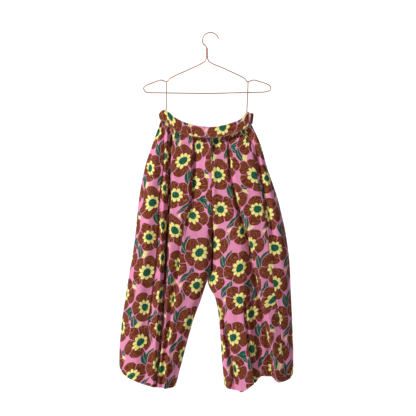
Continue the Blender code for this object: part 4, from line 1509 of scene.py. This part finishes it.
def blossom(shader, place, centre, turn, radius):
    """Masks of a round flower: pale line round it, broad petals that a wedge
    parts, small inner petals, eye.
    """
    local = tile_place(shader, place, centre)
    away = shader.vector("LENGTH", local, output=1)
    parts = shader.split(local)
    angle = shader.math("ARCTAN2", parts[1], parts[0])
    start = float(np.radians(turn))
    rim = RIM_SHARE * radius, RIM_REACH * radius
    reach, gap = petal_ring(shader, angle, start, away, PETALS, rim, RIM_ROUND)
    inside = shader.math("SUBTRACT", reach, away)
    halo = shader.edge(shader.math("ADD", inside, HALO), PRINT_SOFT)
    past = shader.math("MAXIMUM", shader.math("SUBTRACT", away, GAP_FROM * radius), 0.0)
    room = shader.line(past, GAP_WIDEN, GAP_HALF)
    petal = shader.times(shader.edge(inside, PRINT_SOFT), shader.over(gap, room, PRINT_SOFT))
    rim = CUP_SHARE * radius, CUP_REACH * radius
    reach, gap = petal_ring(shader, angle, start, away, CUPS, rim, CUP_ROUND)
    apart = shader.over(gap, CUP_GAP_HALF, CUP_GAP_SOFT)
    cup = shader.times(shader.over(reach, away, PRINT_SOFT), apart)
    return halo, petal, cup, shader.over(EYE_SHARE * radius, away, PRINT_SOFT)


def leaf(shader, place, centre, turn, length, width):
    """Mask of a leaf with a bare rib along its middle.

    Its half width is w (1 - t squared), t the distance along it over its half
    length; it bends sideways by half of w t squared.
    """
    local = tile_place(shader, place, centre)
    angle = np.radians(turn)
    c, s = float(np.cos(angle)), float(np.sin(angle))
    along = shader.vector("DOT_PRODUCT", local, (c, s, 0.0), output=1)
    across = shader.vector("DOT_PRODUCT", local, (-s, c, 0.0), output=1)
    share = shader.math("DIVIDE", along, length)
    square = shader.times(share, share)
    room = shader.line(square, -width, width)
    away = shader.math("ABSOLUTE", shader.line(square, 0.5 * width, across))
    body = shader.over(room, away, PRINT_SOFT)
    return shader.times(body, shader.over(away, RIB_HALF, RIB_SOFT))


def print_colour(shader, place, wash):
    """Colour of the floral print at a place on the cloth in millimetres."""
    looks = bpy.context.scene.palazzo
    stray = shader.noise(place, scale=0.02, detail=1.0, roughness=0.5, output=1)
    stray = shader.vector("SUBTRACT", stray, (0.5, 0.5, 0.5))
    drawn = shader.vector("MULTIPLY_ADD", stray, (STRAY, STRAY, 0.0), place)
    swirl = shader.times(shader.noise(place, scale=0.021, detail=1.5, roughness=0.5), WAVES)
    line = shader.over(WAVE_HALF, shader.math("PINGPONG", swirl, 0.5), WAVE_SOFT)

    def filled(tone, share, towards):
        """A fill with fine wavy lines, a share of the way to another tone."""
        fill = toned(tone, wash, WASHED)
        return shader.mix(line, fill, toned(fill, share, towards))

    tones = {
        "leaf": filled(looks.leaf_colour, 0.07, (0.9, 0.9, 0.9)),
        "petal": filled(looks.petal_colour, 0.28, (0.85, 0.36, 0.22)),
        "bud": filled(looks.bud_colour, 0.14, (0.96, 0.62, 0.10)),
    }
    result = filled(looks.ground_colour, 0.05, (0.9, 0.9, 0.9))
    for x, y, turn, length, width, tone in LEAVES:
        mask = leaf(shader, drawn, (x, y), turn, length, width)
        result = shader.mix(mask, result, tones[tone])
    for x, y, turn, radius in BLOSSOMS:
        masks = blossom(shader, drawn, (x, y), turn, radius)
        ground = toned(looks.ground_colour, wash, WASHED)
        fills = ground, tones["petal"], tones["bud"], tones["leaf"]
        for mask, fill in zip(masks, fills):
            result = shader.mix(mask, result, fill)
    return result


def cloth_material(name, wash):
    """Matt printed cotton: print, weave and crumple on the cloth's own map."""
    shader = Shader(name)
    place = shader.node("ShaderNodeUVMap", {}, uv_map="Cloth")
    place = shader.node("ShaderNodeVectorMath", {0: place, "Scale": 1.0 / MM},
                        operation="SCALE")
    mottle = shader.noise(place, scale=0.35, detail=4.0, roughness=0.6)
    shade = shader.node("ShaderNodeMapRange", {"Value": mottle, "From Min": 0.3, "From Max": 0.7,
                                               "To Min": 0.90, "To Max": 1.06})
    base = shader.mix(1.0, print_colour(shader, place, wash), shade, blend="MULTIPLY")
    beat = float(2 * np.pi / bpy.context.scene.palazzo.weave_pitch * MM)
    warp, weft = (shader.math("SINE", shader.times(part, beat))
                  for part in shader.split(place)[:2])
    crumple = shader.noise(place, scale=0.09, detail=3.0, roughness=0.5)
    crumple = shader.bump(crumple, strength=0.6, distance=0.0012)
    weave = shader.bump(shader.times(warp, weft), strength=0.25, distance=0.00008,
                        Normal=crumple)
    return shader.finish(base, weave, Roughness=0.88, Sheen_Weight=0.05,
                         Sheen_Roughness=0.5, Specular_IOR_Level=0.12)


def plain_material(name, tone, roughness, metallic, scale):
    """One tone with slight mottle and a fine grain in relief."""
    shader = Shader(name)
    place = shader.node("ShaderNodeTexCoord", {}, 3)
    grain = shader.noise(place, scale, detail=3.0, roughness=0.6)
    light = (*(min(1.0, 1.08 * c) for c in tone[:3]), 1.0)
    base = shader.mix(grain, toned(tone, 0.14), light)
    bump = shader.bump(grain, strength=0.5, distance=0.00002)
    return shader.finish(base, bump, Roughness=roughness, Metallic=metallic)


def tape_material(name, tone):
    """Woven tape with ribs across it, painted darker in the troughs between the ribs as shade.
    """
    shader = Shader(name)
    parts = shader.split(shader.node("ShaderNodeUVMap", {}, uv_map="Cloth"))
    rib = shader.math("SINE", shader.times(parts[1], RIBS))
    # Painted shade: the tone darkens where the rib relief sinks, 18 % darker in its troughs.
    base = shader.mix(shader.line(rib, 0.5, 0.5), toned(tone, 0.18), toned(tone, 0.0))
    bump = shader.bump(rib, strength=0.6, distance=0.0002)
    return shader.finish(base, bump, Roughness=0.8, Sheen_Weight=0.2)


def cloth_pair():
    """Face and wrong side of the printed cloth, made once."""
    names = ("printed_cotton", "printed_cotton_wrong_side")
    for name, wash in zip(names, (0.0, WRONG_SIDE_WASH)):
        if name not in bpy.data.materials:
            cloth_material(name, wash)
    return [bpy.data.materials[name] for name in names]


def settle(piece, slot, *nodes):
    """A finished piece rides on the one body and stands for its nodes."""
    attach(piece, "root")
    if nodes:
        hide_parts(*nodes)


def build_backdrop():
    """Pale floor that curves up into a wall by a quarter circle."""
    arc = np.linspace(0.0, np.pi / 2, COVE_STEPS)[1:]
    floor_y = np.linspace(-STAGE_HALF, WALL_Y - COVE_RADIUS, 3)
    y = np.concatenate([floor_y, WALL_Y - COVE_RADIUS * (1.0 - np.sin(arc)), [WALL_Y]])
    z = np.concatenate([floor_y * 0 + FLOOR_Z, FLOOR_Z + COVE_RADIUS * (1.0 - np.cos(arc)),
                        [WALL_TOP]])
    x = np.array([-STAGE_HALF, STAGE_HALF])
    points = np.stack(np.broadcast_arrays(x[None, :], y[:, None], z[:, None]), 2)
    flat = points.reshape(-1, 3)
    paper = plain_material("backdrop_paper", PAPER_COLOUR, roughness=0.9, metallic=0.0,
                           scale=40.0)
    put_mesh("backdrop", flat, [grid_faces(len(y), 2)], flat[:, :2] * MM, [paper])


def build_lights():
    """Key and fill for the garment, one light from each side for the wall."""
    for name, place, aim, size, power in LIGHTS:
        data = bpy.data.lights.new(name, "AREA")
        data.shape = "DISK"
        data.size = size
        data.energy = power
        lamp = add_object(name, data)
        lamp.location = place
        lamp.visible_camera = False
        lamp.rotation_euler = (Vector(aim) - Vector(place)).to_track_quat("-Z", "Y").to_euler()
    world = bpy.context.scene.world or bpy.data.worlds.new("studio")
    bpy.context.scene.world = world
    world.use_nodes = True
    sky = world.node_tree.nodes["Background"]
    sky.inputs["Color"].default_value = SKY_TONE
    sky.inputs["Strength"].default_value = SKY_STRENGTH


def build_camera():
    """Camera square to the front that sees the photograph's width."""
    bpy.context.scene.view_settings.view_transform = "Standard"
    data = bpy.data.cameras.new("camera")
    data.sensor_width = SENSOR
    data.lens = SENSOR * -CAMERA_PLACE[1] / FRAME_WIDTH
    camera = add_object("camera", data)
    camera.location = CAMERA_PLACE
    camera.rotation_euler = (np.pi / 2, 0.0, 0.0)
    bpy.context.scene.camera = camera


class PalazzoSettings(bpy.types.PropertyGroup):
    """Sizes and colours that a user would change."""

    cloth_thickness: bpy.props.FloatProperty(
        name="Cloth thickness", description="Thickness of one layer of cotton",
        default=0.0007, min=0.0002, max=0.0016, unit="LENGTH")
    weave_pitch: bpy.props.FloatProperty(
        name="Weave pitch", description="Distance between threads of the weave",
        default=0.0011, min=0.0003, max=0.003, unit="LENGTH")
    stitch_pitch: bpy.props.FloatProperty(
        name="Stitch pitch", description="Distance between stitches",
        default=0.0030, min=0.0015, max=0.006, unit="LENGTH")
    ground_colour: bpy.props.FloatVectorProperty(
        name="Ground", description="Pink ground of the print", subtype="COLOR",
        default=(0.85, 0.29, 0.49), size=3, min=0.0, max=1.0)
    petal_colour: bpy.props.FloatVectorProperty(
        name="Petals", description="Brown of the large petals", subtype="COLOR",
        default=(0.165, 0.031, 0.010), size=3, min=0.0, max=1.0)
    bud_colour: bpy.props.FloatVectorProperty(
        name="Inner petals", description="Yellow of the inner petals", subtype="COLOR",
        default=(0.96, 0.86, 0.29), size=3, min=0.0, max=1.0)
    leaf_colour: bpy.props.FloatVectorProperty(
        name="Leaves", description="Green of the leaves", subtype="COLOR",
        default=(0.003, 0.105, 0.052), size=3, min=0.0, max=1.0)
    tape_colour: bpy.props.FloatVectorProperty(
        name="Tape", description="Hanging loops", subtype="COLOR",
        default=(0.58, 0.42, 0.37), size=3, min=0.0, max=1.0)
    wire_colour: bpy.props.FloatVectorProperty(
        name="Wire", description="Copper coat of the hanger", subtype="COLOR",
        default=(0.60, 0.20, 0.085), size=3, min=0.0, max=1.0)


class PALAZZO_OT_stage(bpy.types.Operator):
    """Make the floor, the backdrop, the lights and the camera"""

    bl_idname = "palazzo.stage"
    bl_label = "Stage"

    def execute(self, context):
        build_backdrop()
        build_lights()
        build_camera()
        return {"FINISHED"}


class PALAZZO_OT_stitches(bpy.types.Operator):
    """Sew the waistband, the pocket mouths and the hems"""

    bl_idname = "palazzo.stitches"
    bl_label = "Stitching"

    def execute(self, context):
        pitch = context.scene.palazzo.stitch_pitch / MM
        thread = plain_material("sewing_thread", THREAD_COLOUR, roughness=0.7,
                                metallic=0.0, scale=3000.0)
        rows = {}
        for node in BANDS:
            rows[node] = [band_stitches(share, node == BANDS[0], pitch)
                          for share in BAND_STITCH_ROWS]
        for side, wearer in SIDES:
            _, points, normal, seam, _ = leg_grid(side)
            front, back = hem_stitches(points, normal, seam, pitch)
            mouth = mouth_stitches(points, normal, seam, pitch)
            rows[wearer + "_leg_front"] = [front, mouth]
            rows[wearer + "_leg_back"] = [back]
        for node, runs in rows.items():
            settle(join_runs(node + "_stitches", runs, [thread]), "cloth")
        return {"FINISHED"}


class PALAZZO_OT_legs(bpy.types.Operator):
    """Make the four leg panels"""

    bl_idname = "palazzo.legs"
    bl_label = "Leg panels"

    def execute(self, context):
        cloth = cloth_pair()
        for side, wearer in SIDES:
            nodes = f"{wearer}_leg_front", f"{wearer}_leg_back"
            made = build_leg(side, *nodes, cloth)
            for piece, node, band in zip(made, nodes, BANDS):
                settle(piece, "cloth", node)
        return {"FINISHED"}


class PALAZZO_OT_waistband(bpy.types.Operator):
    """Make the two lengths of the waistband"""

    bl_idname = "palazzo.waistband"
    bl_label = "Waistband"

    def execute(self, context):
        made = build_band(cloth_pair())
        for piece, node in zip(made, BANDS):
            settle(piece, "cloth", node)
        return {"FINISHED"}


class PALAZZO_OT_loops(bpy.types.Operator):
    """Make the two hanging loops"""

    bl_idname = "palazzo.loops"
    bl_label = "Hanging loops"

    def execute(self, context):
        tape = tape_material("loop_tape", context.scene.palazzo.tape_colour)
        outline = outline_round(TAPE_WIDTH, TAPE_THICK, TAPE_SIDES, TAPE_SQUARE)
        for name, *route in LOOPS:
            path, along = even_path(tape_path(*route), TAPE_STEP)
            path = ease_path(path, TAPE_EASE)
            piece = sweep(name + "_tape", path, outline, np.ones(len(path)), [tape], along)
            settle(piece, "tape", name)
        return {"FINISHED"}


class PALAZZO_OT_hanger(bpy.types.Operator):
    """Make the bent wire hanger"""

    bl_idname = "palazzo.hanger"
    bl_label = "Wire hanger"

    def execute(self, context):
        wire = plain_material("copper_wire", context.scene.palazzo.wire_colour,
                              roughness=0.38, metallic=1.0, scale=900.0)
        path, along = even_path(hanger_path(), WIRE_STEP)
        path = ease_path(path, WIRE_EASE)
        outline = outline_round(2 * WIRE_RADIUS, 2 * WIRE_RADIUS, WIRE_SIDES, 1.0)
        ends = end_scale(along, WIRE_RADIUS)
        piece = sweep("hanger_wire_copper", path, outline, ends, [wire], along)
        settle(piece, "wire", "hanger_wire")
        return {"FINISHED"}


class PALAZZO_PT_sidebar(bpy.types.Panel):
    """Sizes, colours and pieces of the palazzo pants"""

    bl_label = "Palazzo Pants"
    bl_idname = "PALAZZO_PT_sidebar"
    bl_space_type = "VIEW_3D"
    bl_region_type = "UI"
    bl_category = "Palazzo Pants"

    def draw(self, context):
        for key in PalazzoSettings.__annotations__:
            self.layout.prop(context.scene.palazzo, key)
        for operator in OPERATORS:
            self.layout.operator(operator.bl_idname)


OPERATORS = (
    PALAZZO_OT_stage,
    PALAZZO_OT_stitches,
    PALAZZO_OT_legs,
    PALAZZO_OT_waistband,
    PALAZZO_OT_loops,
    PALAZZO_OT_hanger,
)
CLASSES = (PalazzoSettings,) + OPERATORS + (PALAZZO_PT_sidebar,)


def register():
    """Make the settings, the operators and the panel known to Blender."""
    for item in CLASSES:
        bpy.utils.register_class(item)
    bpy.types.Scene.palazzo = bpy.props.PointerProperty(type=PalazzoSettings)


def unregister():
    """Take them away again."""
    del bpy.types.Scene.palazzo
    for item in reversed(CLASSES):
        bpy.utils.unregister_class(item)


def main():
    """Make every piece."""
    register()
    bpy.ops.palazzo.stage()
    bpy.ops.palazzo.stitches()
    bpy.ops.palazzo.legs()
    bpy.ops.palazzo.waistband()
    bpy.ops.palazzo.loops()
    bpy.ops.palazzo.hanger()


if __name__ == "__main__":
    main()
